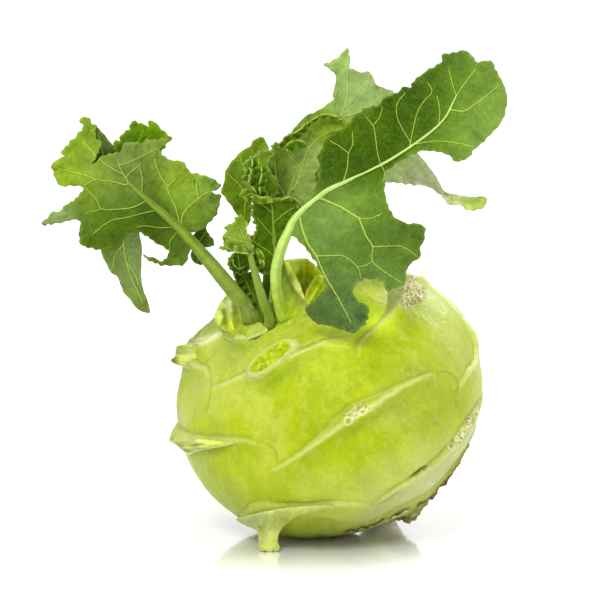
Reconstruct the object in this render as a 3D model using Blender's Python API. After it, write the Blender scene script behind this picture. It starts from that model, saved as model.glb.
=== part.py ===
"""Kohlrabi with its uncut leaves, resting tilted on its side.

The swollen stem is a squat ball on a leaning axis, with raised leaf scars, short cut stalks and a
woody root stump. Eight leaves stand on the crown. Each leaf is a thin blade grown on a tapering
stalk. All driving sizes are in millimetres; the meshes are made in metres.
"""
import math

import bmesh
import bpy
import numpy as np
from mathutils import Vector, geometry

MM = 0.001

# Swollen stem
BULB_CENTRE = Vector((6.6, 5.4, 38.9))
BULB_AXIS = Vector((-0.418, -0.345, 0.84)).normalized()
BULB_RADIUS = 46.0
BULB_HALF_HEIGHT = 37.0
CROWN_LEVEL = 35.2
ROOT_LEVEL = -33.5
BULB_TURNS = 96
BULB_RISES = 48

# Gap between the crown and the cut-flat foot of each leaf
LEAF_GAP = 0.3

# Leaves: outlines are drawn on a sheet that leans back, and pushed in depth
SHEET_LEAN = math.radians(10)
BLADE_THICKNESS = 1.2
BLADE_GRID = 4.0
OUTLINE_STEP = 3.0
STALK_SIDES = 10
STALK_STEP = 4.0

# Leaf scars: (turn, rise) points of each ridge in degrees, and its height and slope width in mm
SCARS = (
    (((-21, 15), (-11, 18), (3, 22), (15, 24), (27, 24), (40, 23), (50, 20), (59, 15)), 2.6, 4.0),
    (((-62, 48), (-44, 54), (-20, 58), (6, 60), (34, 58), (46, 53)), 2.8, 4.5),
    (((38, 44), (54, 48), (78, 44), (100, 38), (112, 33), (120, 22), (124, 10)), 3.0, 4.5),
    (((132, 30), (118, 14), (104, 0), (88, -5), (78, -2), (66, 1), (58, -2)), 2.2, 4.0),
    (((6, -22), (17, -19), (42, -20), (64, -19), (77, -21), (92, -26)), 2.2, 4.0),
    (((-12, -36), (9, -36), (26, -39), (37, -44), (56, -39), (70, -38)), 2.0, 3.5),
    (((-122, 8), (-104, 10), (-85, 14), (-70, 22), (-56, 27), (-44, 29), (-31, 30), (-20, 27)), 3.2, 4.0),
    (((-50, -14), (-34, -6), (-21, -6), (-8, -8), (3, -14), (9, -21)), 2.0, 4.0),
    (((-134, 44), (-120, 43), (-106, 42), (-91, 47), (-77, 52), (-66, 51)), 2.2, 4.5),
    (((-108, 60), (-92, 65), (-74, 69), (-52, 71), (-34, 74), (-12, 76)), 2.0, 4.5),
    (((136, 50), (156, 56), (176, 58), (198, 54), (216, 45)), 2.6, 5.0),
    (((132, 2), (150, 10), (170, 14), (190, 12), (208, 4)), 2.2, 5.0),
    (((-160, -6), (-140, 0), (-122, 0), (-104, -6), (-88, -16)), 2.0, 5.0),
    (((122, -26), (144, -20), (166, -19), (188, -24), (204, -32)), 1.8, 5.0),
)

# Broad swellings: turn, rise, height and reach
SWELLINGS = ((-100, 28, 2.1, 12), (-120, 46, 3.6, 12))

# The plane that the root was cut along
ROOT_PLACE = Vector((37.6, 5.0, 14.4))
ROOT_FACING = Vector((0.81, 0.03, -0.585)).normalized()

# Short cut stalks on the stem: points from inside the flesh outwards, and the radius at each
HORN = (((-24, 10, 50), 4.6), ((-31, 9, 51.8), 3.6), ((-37.0, 9.0, 53.2), 2.8), ((-39.6, 9.2, 53.0), 1.9))
LEFT_LIP = (((-29, 2, 26.5), 4.4), ((-35, 1, 27.6), 3.2), ((-41.0, 1.5, 28.4), 1.2))
FOOT = (((-8, -14, 13), 7.6), ((-10.6, -19.6, 8.6), 5.4), ((-12, -24.4, 4.6), 3.4), ((-12, -26.6, 0.2), 2.8))
SCAR_LIP = (((-10, -17, 58), 5.0), ((-12.5, -23.5, 58.6), 4.2), ((-13.2, -26.0, 58.8), 3.2))
SCAR_BOSS = (((24, -1, 62), 6.0), ((28.2, -3.2, 69), 5.0), ((29.3, -4.2, 71.4), 4.2))
RIGHT_STUB = (((-1.5, -2.0, 62), 5.0), ((1.0, -5.0, 70), 4.2), ((3.2, -6.6, 75.6), 3.0))
BACK_STUB = (((-2.6, 3.0, 65), 4.6), ((-2.4, 0.8, 75), 3.7), ((-2.4, 0.2, 82.2), 2.8))
LEFT_STUB = (((-17, -2, 58), 4.6), ((-21, -1.8, 64.5), 3.8), ((-23.2, -1.4, 70), 2.3))
ROOT_STUMP = (((16.5, 13.6, 19), 9.0), ((20.0, 16.5, 12), 8.5), ((23.0, 19.0, 6), 7.5))
CUT_STALKS = (HORN, LEFT_LIP, FOOT, SCAR_LIP, SCAR_BOSS, RIGHT_STUB, BACK_STUB, LEFT_STUB, ROOT_STUMP)

# Leaves: foot on the crown (across, back), stalk points (across, up, depth, radius) along the
# drawing sheet, blade outline (across, up) and extra depth marks (across, up, depth)
LEAVES = {
    "leaf_right": dict(
        foot=(1.6, -8.2, 2.3),
        stalk=(
            (-9.5, 69, -15.2, 2.0), (-11.2, 77, -17.5, 1.9), (-10.3, 84, -20, 1.8),
            (-8.3, 89, -22, 1.7), (-5, 93.3, -23.5, 1.5), (4.5, 101, -24, 1.3),
            (10.5, 104, -23.5, 1.2), (21, 109, -22, 1.1), (30.5, 115, -20, 1.0),
            (39, 122, -17.5, 0.95), (43.5, 130, -15, 0.9), (47, 135, -13, 0.85),
        ),
        outline=(
            (0, 99), (2.5, 104.5), (3.5, 112), (6.5, 118), (15.5, 125), (25, 130), (30.5, 133.5),
            (37, 138), (39.5, 141.5), (46.5, 142.5), (50, 139), (54.5, 138), (58, 128), (55.5, 119.5),
            (50, 115), (45, 110.5), (40.5, 112.5), (32.5, 113), (24, 108), (22, 103), (23, 97),
            (27, 92.5), (33.5, 91), (32.5, 83), (28.5, 78.5), (27, 74), (22.5, 72.5), (20, 75.5),
            (14, 75), (13, 70), (17, 66.5), (16, 61.5), (10.5, 60.5), (1.5, 63), (-1, 67),
            (4, 72), (3.5, 77), (-1, 84.5), (-6, 91),
        ),
        marks=(
            (4, 115, -20), (15.5, 125, -15), (28, 132, -11), (39.5, 141, -8), (54.5, 138, -8),
            (58, 128, -10), (47.5, 112, -16), (22, 103, -25), (33.5, 90, -26), (30, 80.5, -28),
            (25, 73, -30), (13, 72, -30), (16, 63, -32), (5, 62, -31), (-1, 67, -28),
            (4.5, 76, -28), (-2, 86, -25),
        ),
        colour=(0.10, 0.25, 0.02),
    ),
    "leaf_left": dict(
        foot=(-8.6, -2.7, 2.4),
        stalk=(
            (-18, 66.5, -9, 2.3), (-21, 70, -10.8, 2.2), (-25.5, 75.5, -14, 2.1),
            (-30, 81, -17, 1.9), (-38.5, 90.5, -22, 1.4), (-48, 99, -25.5, 1.1),
            (-54, 105, -27.5, 0.95), (-56, 109, -28, 0.85),
        ),
        outline=(
            (-36, 88.5), (-31, 91), (-27, 96.5), (-27, 103), (-33.5, 106.5), (-38, 110), (-45, 112.5),
            (-41.5, 117), (-45.5, 121.5), (-52, 121), (-57, 115.5), (-63.5, 121), (-67, 118.5),
            (-72.5, 112), (-75, 107), (-73, 103), (-67, 102), (-69, 98), (-78, 92), (-68, 92.5),
            (-67, 86), (-61, 84), (-58.5, 77.5), (-55, 72), (-50.5, 66.5), (-47.5, 66.5),
            (-49.5, 77), (-50, 86), (-46, 86.5), (-42.5, 83.5), (-45, 81), (-38, 80), (-35.5, 84),
        ),
        marks=(
            (-28, 94, -15), (-27, 102, -13), (-36.5, 108, -17), (-44, 114, -21), (-51, 121, -25),
            (-66, 120, -30), (-75, 107, -33), (-78, 92, -34), (-67, 86, -29), (-60, 96, -29),
            (-55, 86, -24), (-58.5, 78, -21), (-49, 66.5, -17), (-46, 84, -20), (-37, 80, -17),
        ),
        colour=(0.20, 0.36, 0.05),
    ),
    "leaf_back_right": dict(
        foot=(-0.5, 1.5, 1.5),
        stalk=(
            (-9, 75, -4, 1.4), (-8.5, 85, -1, 1.3), (-6, 97, 3, 1.2), (-0.5, 110, 8, 1.1),
            (7, 119.5, 12, 1.0), (11, 129.5, 15, 0.9), (11, 138, 17, 0.85),
        ),
        outline=(
            (-9.5, 90), (-9.5, 99), (-8, 110), (-4.5, 120), (7.5, 129.5), (7.5, 135), (5, 140),
            (11.5, 144), (12.5, 138), (17.5, 137), (21, 133), (27, 130), (30, 116), (37.5, 105.5),
            (41, 101), (52, 100), (51, 96.5), (45, 97.5), (40, 99.5), (35, 103), (22, 104.5),
            (8, 98), (-3, 89.5),
        ),
        marks=(
            (-9.5, 99, 1), (-4.5, 120, 9), (5, 139, 17), (17, 137, 19), (27, 128, 14),
            (22, 106, 3), (37, 104, -1), (45, 99, -3), (52, 98, -2), (8, 98, 1),
        ),
        colour=(0.33, 0.44, 0.14),
    ),
    "leaf_back_left": dict(
        foot=(-5.5, 2.0, 1.4),
        stalk=(
            (-15, 75, -2, 1.3), (-17, 88, 3, 1.2), (-18.5, 100, 8, 1.1), (-18, 109, 12, 0.95),
            (-17, 114, 14, 0.85),
        ),
        outline=(
            (-14, 117), (-17, 116.5), (-22, 112), (-25, 106.5), (-26, 101.5), (-21.5, 94.5),
            (-19, 86), (-14, 84), (-12, 96), (-11.5, 108),
        ),
        marks=((-14, 117, 13), (-25, 107, 8), (-26, 101.5, 6), (-12, 96, 6), (-11.5, 108, 9)),
        colour=(0.16, 0.30, 0.02),
    ),
    "leaf_inner": dict(
        foot=(2.6, -3.0, 1.4),
        stalk=(
            (-5.0, 72, -9.2, 1.3), (-5.8, 82, -8.4, 1.2), (-7, 92.5, -7, 1.1), (-6.5, 99.5, -5.5, 1.0),
            (-4, 107, -4, 0.9), (-1, 113, -3, 0.85), (1, 119, -2, 0.8),
        ),
        outline=(
            (-9, 94.5), (-10.5, 101.5), (-14, 103.5), (-14.5, 109.5), (-11, 114.5), (-5.5, 117),
            (-1, 120), (1.5, 123.5), (9, 123.5), (11.5, 121), (4, 114.5), (3, 108), (2, 103),
            (-1, 96), (-5.5, 92.5),
        ),
        marks=((-14.5, 107, -8), (-11, 114, -6), (1.5, 123, -2), (11, 122, -6), (3, 108, -7), (0, 97, -8)),
        colour=(0.17, 0.31, 0.04),
    ),
    "leaf_young_tall": dict(
        foot=(-1.8, -5.0, 1.3),
        stalk=(
            (-9.2, 69, -11.4, 1.1), (-9.8, 78, -12.2, 1.0), (-10.5, 86.5, -12.9, 0.95),
            (-11, 96, -13.5, 0.9), (-12.5, 102, -13.5, 0.85), (-14, 106, -13.2, 0.8),
        ),
        outline=(
            (-8.5, 76), (-13, 78), (-16.5, 84), (-16, 91), (-16.5, 97), (-20.5, 100), (-19.5, 107),
            (-16, 112.5), (-11, 111.5), (-8, 103), (-3.5, 98), (-4.5, 93), (-8.5, 87), (-7.5, 79),
        ),
        marks=((-16.5, 86, -15.5), (-20, 101, -16), (-16, 112, -12.5), (-4, 97, -15), (-8, 84, -14)),
        colour=(0.12, 0.28, 0.02),
    ),
    "leaf_young_front": dict(
        foot=(-3.0, -9.7, 1.4),
        stalk=(
            (-12.0, 64.5, -16.6, 1.4), (-13.5, 68.5, -17.6, 1.3), (-15.5, 75, -18, 1.2),
            (-17, 80.5, -18.5, 1.0), (-18.5, 86, -18.5, 0.9), (-20.5, 90.5, -18.5, 0.8),
        ),
        outline=(
            (-17, 83.5), (-17, 88), (-18, 92), (-21.5, 93.5), (-25, 91), (-25.5, 87.5), (-26, 84.5),
            (-20, 84),
        ),
        marks=((-25.5, 86, -20.5), (-22, 93.5, -19), (-17, 89, -19.5)),
        colour=(0.24, 0.40, 0.05),
    ),
    "leaf_young_tuft": dict(
        foot=(-4.8, -5.2, 0.9),
        stalk=(
            (-14, 66, -9.8, 0.8), (-16.4, 70.5, -8.6, 0.8), (-19.4, 76, -7.8, 0.8), (-20.8, 80, -7.6, 0.7),
        ),
        outline=((-15, 68.5), (-18.2, 71.5), (-23, 77), (-23, 82.5), (-19.5, 84), (-17, 80), (-14.8, 73)),
        marks=((-23, 80, -8.2), (-16, 75, -8.6), (-19.5, 84, -7.8)),
        colour=(0.10, 0.24, 0.02),
    ),
}


def clear_scene():
    for thing in list(bpy.data.objects):
        bpy.data.objects.remove(thing, do_unlink=True)


def skin_material(name, colour, roughness):
    material = bpy.data.materials.new(name)
    material.use_nodes = True
    shader = material.node_tree.nodes["Principled BSDF"]
    shader.inputs["Base Color"].default_value = (*colour, 1.0)
    shader.inputs["Roughness"].default_value = roughness
    shader.inputs["Metallic"].default_value = 0.0
    return material


def add_object(name, points, faces, material):
    """A smooth-shaded object from points in millimetres, with its faces pointing outwards."""
    mesh = bpy.data.meshes.new(name)
    mesh.from_pydata([tuple(MM * c for c in p) for p in points], [], faces)
    build = bmesh.new()
    build.from_mesh(mesh)
    bmesh.ops.recalc_face_normals(build, faces=build.faces)
    build.to_mesh(mesh)
    build.free()
    mesh.shade_smooth()
    mesh.materials.append(material)
    thing = bpy.data.objects.new(name, mesh)
    bpy.context.scene.collection.objects.link(thing)
    return thing


def add_boolean(target, tool, operation):
    """Joins or cuts the target with a hidden tool object, which is left out of the part."""
    tool.hide_render = True
    tool.display_type = "WIRE"
    change = target.modifiers.new(tool.name, "BOOLEAN")
    change.operation = operation
    change.solver = "EXACT"
    change.object = tool


def smooth_line(points, step, closed=False):
    """Points about one step apart on the Catmull-Rom curve through the given points."""
    points = np.array(points, float)
    count = len(points)
    if closed:
        padded = np.vstack([points[-1:], points, points[:2]])
        spans = count
    else:
        padded = np.vstack([2 * points[0] - points[1], points, 2 * points[-1] - points[-2]])
        spans = count - 1
    line = []
    for i in range(spans):
        a, b, c, d = padded[i:i + 4]
        pieces = max(1, round(np.linalg.norm(c - b) / step))
        for k in range(pieces):
            t = k / pieces
            curve = 2 * b + (c - a) * t + (2 * a - 5 * b + 4 * c - d) * t ** 2
            line.append((curve + (3 * b - a - 3 * c + d) * t ** 3) / 2)
    if not closed:
        line.append(points[-1])
    return np.array(line)


def bulb_directions():
    """The stem's own directions: side and back across it, and its axis."""
    side = (Vector((1, 0, 0)) - BULB_AXIS.x * BULB_AXIS).normalized()
    back = BULB_AXIS.cross(side)
    return side, back, BULB_AXIS


def ball_points(turn, rise):
    """Points of the plain ball in its own frame. Turn 0 faces the front, rise 90 is the crown."""
    turn = np.radians(turn)
    rise = np.radians(rise)
    ring = BULB_RADIUS * np.cos(rise)
    return np.stack([ring * np.sin(turn), -ring * np.cos(turn), BULB_HALF_HEIGHT * np.sin(rise)], -1)


def ball_normals(points):
    slopes = points / np.array([BULB_RADIUS, BULB_RADIUS, BULB_HALF_HEIGHT]) ** 2
    return slopes / np.linalg.norm(slopes, axis=-1, keepdims=True)


def scar_lift(points, ridge, height, width):
    """How far one leaf scar lifts the skin: a step on the crown side and a slope below it."""
    path = smooth_line(ridge, 2.0)
    line = ball_points(path[:, 0], path[:, 1])
    along = np.gradient(line, axis=0)
    uphill = np.cross(ball_normals(line), along)
    uphill /= np.linalg.norm(uphill, axis=1, keepdims=True)
    uphill *= np.sign(uphill[:, 2:3])
    gaps = points[:, None, :] - line[None, :, :]
    nearest = np.argmin((gaps ** 2).sum(axis=2), axis=1)
    gap = gaps[np.arange(len(points)), nearest]
    above = (gap * uphill[nearest]).sum(axis=1)
    sideways = np.linalg.norm(gap - above[:, None] * uphill[nearest], axis=1)
    place = nearest / (len(line) - 1)
    fade = np.sin(math.pi * np.clip(place, 0, 1)) ** 0.6 * np.exp(-(sideways / width) ** 2)
    step = np.exp(-(np.maximum(above, 0) / 1.7) ** 2)
    slope = np.exp(-(np.maximum(-above, 0) / width) ** 1.5)
    return height * fade * step * slope


def bulb_surface(turn, rise):
    """World points of the stem's skin for arrays of turn and rise in degrees."""
    ball = ball_points(turn, rise)
    lift = np.zeros(len(ball))
    for ridge, height, width in SCARS:
        lift = np.maximum(lift, scar_lift(ball, ridge, height, width))
    for middle_turn, middle_rise, height, reach in SWELLINGS:
        gap = np.linalg.norm(ball - ball_points(middle_turn, middle_rise), axis=1)
        lift += height * np.exp(-(gap / reach) ** 2)
    skin = ball + ball_normals(ball) * lift[:, None]
    skin[:, 2] = np.clip(skin[:, 2], ROOT_LEVEL, CROWN_LEVEL)
    axes = np.array([list(d) for d in bulb_directions()])
    skin = skin @ axes + np.array(BULB_CENTRE)
    past = np.maximum((skin - np.array(ROOT_PLACE)) @ np.array(ROOT_FACING), 0)
    return skin - past[:, None] * np.array(ROOT_FACING)


def tube(points, radii, sides, first_axis=None):
    """Points and faces of a closed tapering tube along a line of points."""
    points = [Vector(p) for p in points]
    rings = []
    previous = None
    for i, point in enumerate(points):
        ahead = points[min(i + 1, len(points) - 1)] - points[max(i - 1, 0)]
        if i == 0 and first_axis is not None:
            ahead = first_axis
        ahead = ahead.normalized()
        start = previous if previous is not None else Vector((0, 1, 0))
        across = (start - start.dot(ahead) * ahead).normalized()
        previous = across
        other = ahead.cross(across)
        for k in range(sides):
            angle = 2 * math.pi * k / sides
            spoke = math.cos(angle) * across + math.sin(angle) * other
            rings.append(point + float(radii[i]) * spoke)
    faces = [tuple(range(sides)), tuple(range(len(rings) - sides, len(rings)))]
    for i in range(len(points) - 1):
        for k in range(sides):
            a = i * sides + k
            b = i * sides + (k + 1) % sides
            faces.append((a, b, b + sides, a + sides))
    return rings, faces


def make_bulb():
    """The swollen stem with its scars, its cut stalks and its flat resting spot."""
    green = skin_material("stem_skin", (0.45, 0.52, 0.02), 0.42)
    turns = np.arange(BULB_TURNS) * 360 / BULB_TURNS
    rises = np.linspace(-90, 90, BULB_RISES + 1)[1:-1]
    grid_rise, grid_turn = np.meshgrid(rises, turns, indexing="ij")
    points = bulb_surface(grid_turn.ravel(), grid_rise.ravel())
    poles = bulb_surface(np.zeros(2), np.array([-90.0, 90.0]))
    points = np.vstack([points, poles])
    bottom = len(points) - 2
    top = len(points) - 1
    faces = []
    for k in range(BULB_TURNS):
        following = (k + 1) % BULB_TURNS
        faces.append((bottom, following, k))
        last = (len(rises) - 1) * BULB_TURNS
        faces.append((top, last + k, last + following))
        for i in range(len(rises) - 1):
            a = i * BULB_TURNS
            faces.append((a + k, a + following, a + BULB_TURNS + following, a + BULB_TURNS + k))
    bulb = add_object("bulb", points, faces, green)

    for number, stalk in enumerate(CUT_STALKS):
        route = smooth_line([(*place, radius) for place, radius in stalk], STALK_STEP)
        rings, sides = tube(route[:, :3], route[:, 3], STALK_SIDES)
        add_boolean(bulb, add_object(f"cut_stalk_{number}", rings, sides, green), "UNION")

    block = 60.0
    floor = [(x, y, z) for x in (-block, block) for y in (-block, block) for z in (-block, 0.0)]
    floor_faces = [(0, 1, 3, 2), (4, 6, 7, 5), (0, 4, 5, 1), (2, 3, 7, 6), (0, 2, 6, 4), (1, 5, 7, 3)]
    add_boolean(bulb, add_object("rest_cut", floor, floor_faces, green), "DIFFERENCE")


def sheet_point(across, up, depth):
    """A point drawn on the leaning sheet and pushed level in depth."""
    return Vector((across, depth, (up - depth * math.sin(SHEET_LEAN)) / math.cos(SHEET_LEAN)))


def on_sheet(point):
    up = point.z * math.cos(SHEET_LEAN) + point.y * math.sin(SHEET_LEAN)
    return (point.x, up, point.y)


def crown_point(across, back, above):
    side, behind, axis = bulb_directions()
    return BULB_CENTRE + across * side + back * behind + (CROWN_LEVEL + above) * axis


def depth_surface(marks):
    """A smooth surface through (across, up, depth) marks: a thin plate spline."""
    marks = np.array(marks, float)
    count = len(marks)

    def bending(places):
        gaps = np.linalg.norm(places[:, None, :] - marks[None, :, :2], axis=2)
        return gaps ** 2 * np.log(gaps + 1e-9)

    flat = np.c_[np.ones(count), marks[:, :2]]
    system = np.zeros((count + 3, count + 3))
    system[:count, :count] = bending(marks[:, :2])
    system[:count, count:] = flat
    system[count:, :count] = flat.T
    weights = np.linalg.solve(system, np.r_[marks[:, 2], np.zeros(3)])

    def depth(places):
        places = np.asarray(places, float)
        return bending(places) @ weights[:count] + np.c_[np.ones(len(places)), places] @ weights[count:]

    return depth


def inside(outline, places):
    """Which places lie inside a closed outline."""
    result = np.zeros(len(places), bool)
    for (ax, ay), (bx, by) in zip(outline, np.roll(outline, -1, axis=0)):
        crosses = (ay > places[:, 1]) != (by > places[:, 1])
        slope = (bx - ax) / (by - ay) if by != ay else 0.0
        result ^= crosses & (places[:, 0] < ax + (places[:, 1] - ay) * slope)
    return result


def lattice(outline, spacing):
    """A triangular lattice of places inside an outline, clear of its edge."""
    low = outline.min(axis=0)
    high = outline.max(axis=0)
    places = []
    row = 0
    up = low[1]
    while up < high[1]:
        start = low[0] + (row % 2) * spacing / 2
        places += [(across, up) for across in np.arange(start, high[0], spacing)]
        up += spacing * math.sqrt(3) / 2
        row += 1
    places = np.array(places)
    places = places[inside(outline, places)]
    clear = np.linalg.norm(places[:, None] - outline[None], axis=2).min(axis=1)
    return places[clear > 0.55 * spacing]


def blade(outline, depth, thickness, spacing):
    """Points and faces of a closed thin blade inside a drawn outline."""
    edge = smooth_line(outline, OUTLINE_STEP, closed=True)
    drawn = np.vstack([edge, lattice(edge, spacing)])
    flat, _, triangles, _, _, _ = geometry.delaunay_2d_cdt(
        [Vector(p) for p in drawn], [], [tuple(range(len(edge)))], 1, 1e-5)
    flat = np.array([list(p) for p in flat])
    step = 0.05
    level = depth(flat)
    slope_across = (depth(flat + [step, 0]) - level) / step
    slope_up = (depth(flat + [0, step]) - level) / step
    middle = np.array([list(sheet_point(*place, d)) for place, d in zip(flat, level)])
    tangent_across = np.array([list(sheet_point(1, 0, s)) for s in slope_across])
    tangent_up = np.array([list(sheet_point(0, 1, s)) for s in slope_up])
    normal = np.cross(tangent_across, tangent_up)
    normal /= np.linalg.norm(normal, axis=1, keepdims=True)
    count = len(flat)
    points = np.vstack([middle + normal * thickness / 2, middle - normal * thickness / 2])
    faces = []
    uses = {}
    for tri in triangles:
        faces.append(tuple(tri))
        faces.append(tuple(v + count for v in reversed(tri)))
        for a, b in zip(tri, tri[1:] + tri[:1]):
            uses[(a, b)] = uses.get((a, b), 0) + 1
    for a, b in uses:
        if (b, a) not in uses:
            faces.append((b, a, a + count, b + count))
    return points, faces


def make_leaf(name, foot, stalk, outline, marks, colour):
    """One leaf: a thin blade grown on a tapering stalk that stands just clear of the crown."""
    green = skin_material(name + "_green", colour, 0.5)
    across, back, radius = foot
    base = crown_point(across, back, LEAF_GAP)
    rise = crown_point(across, back, LEAF_GAP + 1.5)
    knots = [(*base, radius), (*rise, radius)]
    knots += [(*sheet_point(a, u, d), r) for a, u, d, r in stalk]
    route = smooth_line(knots, STALK_STEP)
    rings, sides = tube(route[:, :3], route[:, 3], STALK_SIDES, BULB_AXIS)
    depth = depth_surface([on_sheet(rise)] + [point[:3] for point in stalk] + list(marks))
    points, faces = blade(outline, depth, BLADE_THICKNESS, BLADE_GRID)
    leaf = add_object(name, points, faces, green)
    add_boolean(leaf, add_object(name + "_stalk", rings, sides, green), "UNION")


clear_scene()
make_bulb()
for leaf_name, leaf in LEAVES.items():
    make_leaf(leaf_name, **leaf)
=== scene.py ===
"""Looks of the kohlrabi: the skin, scars and cut stalks of the stem, and eight veined leaves.

Sizes are in millimetres in the frame of the solids; meshes are made in metres. Leaves are drawn on
a sheet that leans back by SHEET_LEAN and pushed in depth, as the solids are.
"""
import math

import bpy
import numpy as np
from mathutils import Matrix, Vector, geometry, kdtree, noise


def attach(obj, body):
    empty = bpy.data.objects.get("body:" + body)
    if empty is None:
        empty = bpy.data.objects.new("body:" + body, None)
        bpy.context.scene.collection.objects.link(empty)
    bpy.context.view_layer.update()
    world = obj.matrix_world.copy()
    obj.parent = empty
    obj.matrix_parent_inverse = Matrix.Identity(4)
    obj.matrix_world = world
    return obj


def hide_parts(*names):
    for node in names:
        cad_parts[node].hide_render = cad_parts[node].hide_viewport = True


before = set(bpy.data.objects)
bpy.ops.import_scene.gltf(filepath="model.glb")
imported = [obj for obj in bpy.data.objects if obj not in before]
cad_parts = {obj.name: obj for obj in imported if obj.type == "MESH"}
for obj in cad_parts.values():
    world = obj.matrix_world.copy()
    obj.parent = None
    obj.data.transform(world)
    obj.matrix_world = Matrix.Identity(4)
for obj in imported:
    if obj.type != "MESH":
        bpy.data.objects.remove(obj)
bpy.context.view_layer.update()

MM = 0.001

# Swollen stem
BULB_CENTRE = np.array([6.6, 5.4, 38.9])
BULB_AXIS = np.array([-0.418, -0.345, 0.84]) / np.linalg.norm([-0.418, -0.345, 0.84])
BULB_RADIUS = 46.0
BULB_HALF_HEIGHT = 37.0
CROWN_LEVEL = 35.2
ROOT_LEVEL = -33.5
BALL_CUTS = 7
SKIN_VOXEL = 0.5
SKIN_DEPTH = 0.68

# Leaves
LEAF_GAP = 0.3
FOOT_DEPTH = 1.6
SHEET_LEAN = math.radians(10)
BLADE_GRID = 0.7
EDGE_STEP = 0.45
STALK_SIDES = 20
STALK_STEP = 0.8
VEIN_STEP = 0.9
LEAF_DEPTH = 0.84

# Materials
NOISE_ROUGHNESS = 0.55

# Greens, as display colours from 0 to 1
# The leaf's own deep green darkened with painted shade, for the upper half of the right leaf, which lies in
# shade
SHADED_DEEP_GREEN = (0.15, 0.29, 0.01)
FRESH = (0.29, 0.43, 0.02)
LIT = (0.44, 0.58, 0.18)
GLOW = (0.56, 0.70, 0.31)
LIME = (0.58, 0.70, 0.20)
# Bluish greens of the right leaf's hanging half: its waxy bloom, with painted reflection of the light from
# above
BLUISH_BLOOM_REFLECTION = (0.33, 0.46, 0.24)
MISTY_BLOOM_REFLECTION = (0.41, 0.54, 0.27)
UNDER = (0.44, 0.55, 0.20)
SAGE = (0.51, 0.61, 0.34)
PALE = (0.64, 0.71, 0.46)
VEIN_YELLOW = (0.76, 0.82, 0.32)
VEIN_PALE = (0.74, 0.82, 0.50)


def linear(colour):
    """Display colour to the linear colour that shaders take."""
    colour = np.asarray(colour, float)
    return np.where(colour <= 0.04045, colour / 12.92, ((colour + 0.055) / 1.055) ** 2.4)


def smooth_line(points, step, closed=False):
    """Points about one step apart on the Catmull-Rom curve through the given points."""
    points = np.array(points, float)
    if closed:
        padded = np.vstack([points[-1:], points, points[:2]])
        spans = len(points)
    else:
        padded = np.vstack([2 * points[0] - points[1], points, 2 * points[-1] - points[-2]])
        spans = len(points) - 1
    line = []
    for i in range(spans):
        a, b, c, d = padded[i:i + 4]
        pieces = max(1, round(np.linalg.norm((c - b)[:3]) / step))
        t = (np.arange(pieces) / pieces)[:, None]
        curve = 2 * b + (c - a) * t + (2 * a - 5 * b + 4 * c - d) * t ** 2
        line.append((curve + (3 * b - a - 3 * c + d) * t ** 3) / 2)
    if not closed:
        line.append(points[-1:])
    return np.vstack(line)


def cells(points, size, seed=0.0):
    """Soft noise from -1 to 1 at each point, with features of the given size."""
    points = np.atleast_2d(points) / size
    if points.shape[1] == 2:
        points = np.c_[points, np.zeros(len(points))]
    return np.array([noise.noise((x + seed, y - seed, z + 2 * seed)) for x, y, z in points])


def ramp(value, low, high):
    """0 below low, 1 above high, and a smooth step between them."""
    t = np.clip((value - low) / (high - low), 0, 1)
    return t * t * (3 - 2 * t)


# ---------------------------------------------------------------- meshes

def add_mesh(name, points, faces, paint, depth=LEAF_DEPTH, **fields):
    """A smooth-shaded object from points in millimetres, with a colour and other values at each point."""
    mesh = bpy.data.meshes.new(name)
    mesh.from_pydata((np.asarray(points) * MM).tolist(), [], faces)
    colours = mesh.attributes.new("paint", "FLOAT_COLOR", "POINT")
    shade = depth * linear(np.clip(paint, 0, 1))
    colours.data.foreach_set("color", np.c_[shade, np.ones(len(points))].ravel())
    for field, values in fields.items():
        attribute = mesh.attributes.new(field, "FLOAT", "POINT")
        attribute.data.foreach_set("value", np.asarray(values, np.float32))
    mesh.shade_smooth()
    thing = bpy.data.objects.new(name, mesh)
    bpy.context.scene.collection.objects.link(thing)
    return thing


def joined(parts):
    """Several (points, faces, paint, vein) parts as one."""
    points, faces, paint, vein = [], [], [], []
    count = 0
    for part_points, part_faces, part_paint, part_vein in parts:
        points.append(part_points)
        paint.append(part_paint)
        vein.append(part_vein)
        faces += [tuple(v + count for v in face) for face in part_faces]
        count += len(part_points)
    return np.vstack(points), faces, np.vstack(paint), np.concatenate(vein)


def tube(points, radii, sides, flat=1.0, groove=0.0, groove_side=(0, -1, 0)):
    """A closed tapering tube along a line. Its rings keep one side turned to groove_side."""
    points = np.asarray(points, float)
    ahead = np.gradient(points, axis=0)
    ahead /= np.linalg.norm(ahead, axis=1, keepdims=True)
    facing = np.asarray(groove_side, float)
    front = facing - (ahead @ facing)[:, None] * ahead
    front /= np.linalg.norm(front, axis=1, keepdims=True)
    across = np.cross(ahead, front)
    angle = 2 * math.pi * np.arange(sides) / sides
    dent = 1 - groove * np.exp(-((np.minimum(angle, 2 * math.pi - angle)) / 0.55) ** 2)
    spokes = flat * (np.cos(angle) * dent)[None, :, None] * front[:, None, :]
    spokes = spokes + np.sin(angle)[None, :, None] * across[:, None, :]
    rings = points[:, None, :] + np.asarray(radii)[:, None, None] * spokes
    count = len(points) * sides
    verts = np.vstack([rings.reshape(-1, 3), points[:1], points[-1:] + ahead[-1:] * radii[-1] * 0.8])
    faces = []
    for k in range(sides):
        following = (k + 1) % sides
        faces.append((count, following, k))
        last = count - sides
        faces.append((count + 1, last + k, last + following))
        for i in range(len(points) - 1):
            a = i * sides
            faces.append((a + k, a + following, a + sides + following, a + sides + k))
    return verts, faces


# ---------------------------------------------------------------- drawing sheets

def sheet_points(places, depth):
    up = (places[:, 1] - depth * math.sin(SHEET_LEAN)) / math.cos(SHEET_LEAN)
    return np.stack([places[:, 0], depth, up], -1)


def on_sheet(point):
    return (point[0], point[2] * math.cos(SHEET_LEAN) + point[1] * math.sin(SHEET_LEAN), point[1])


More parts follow.
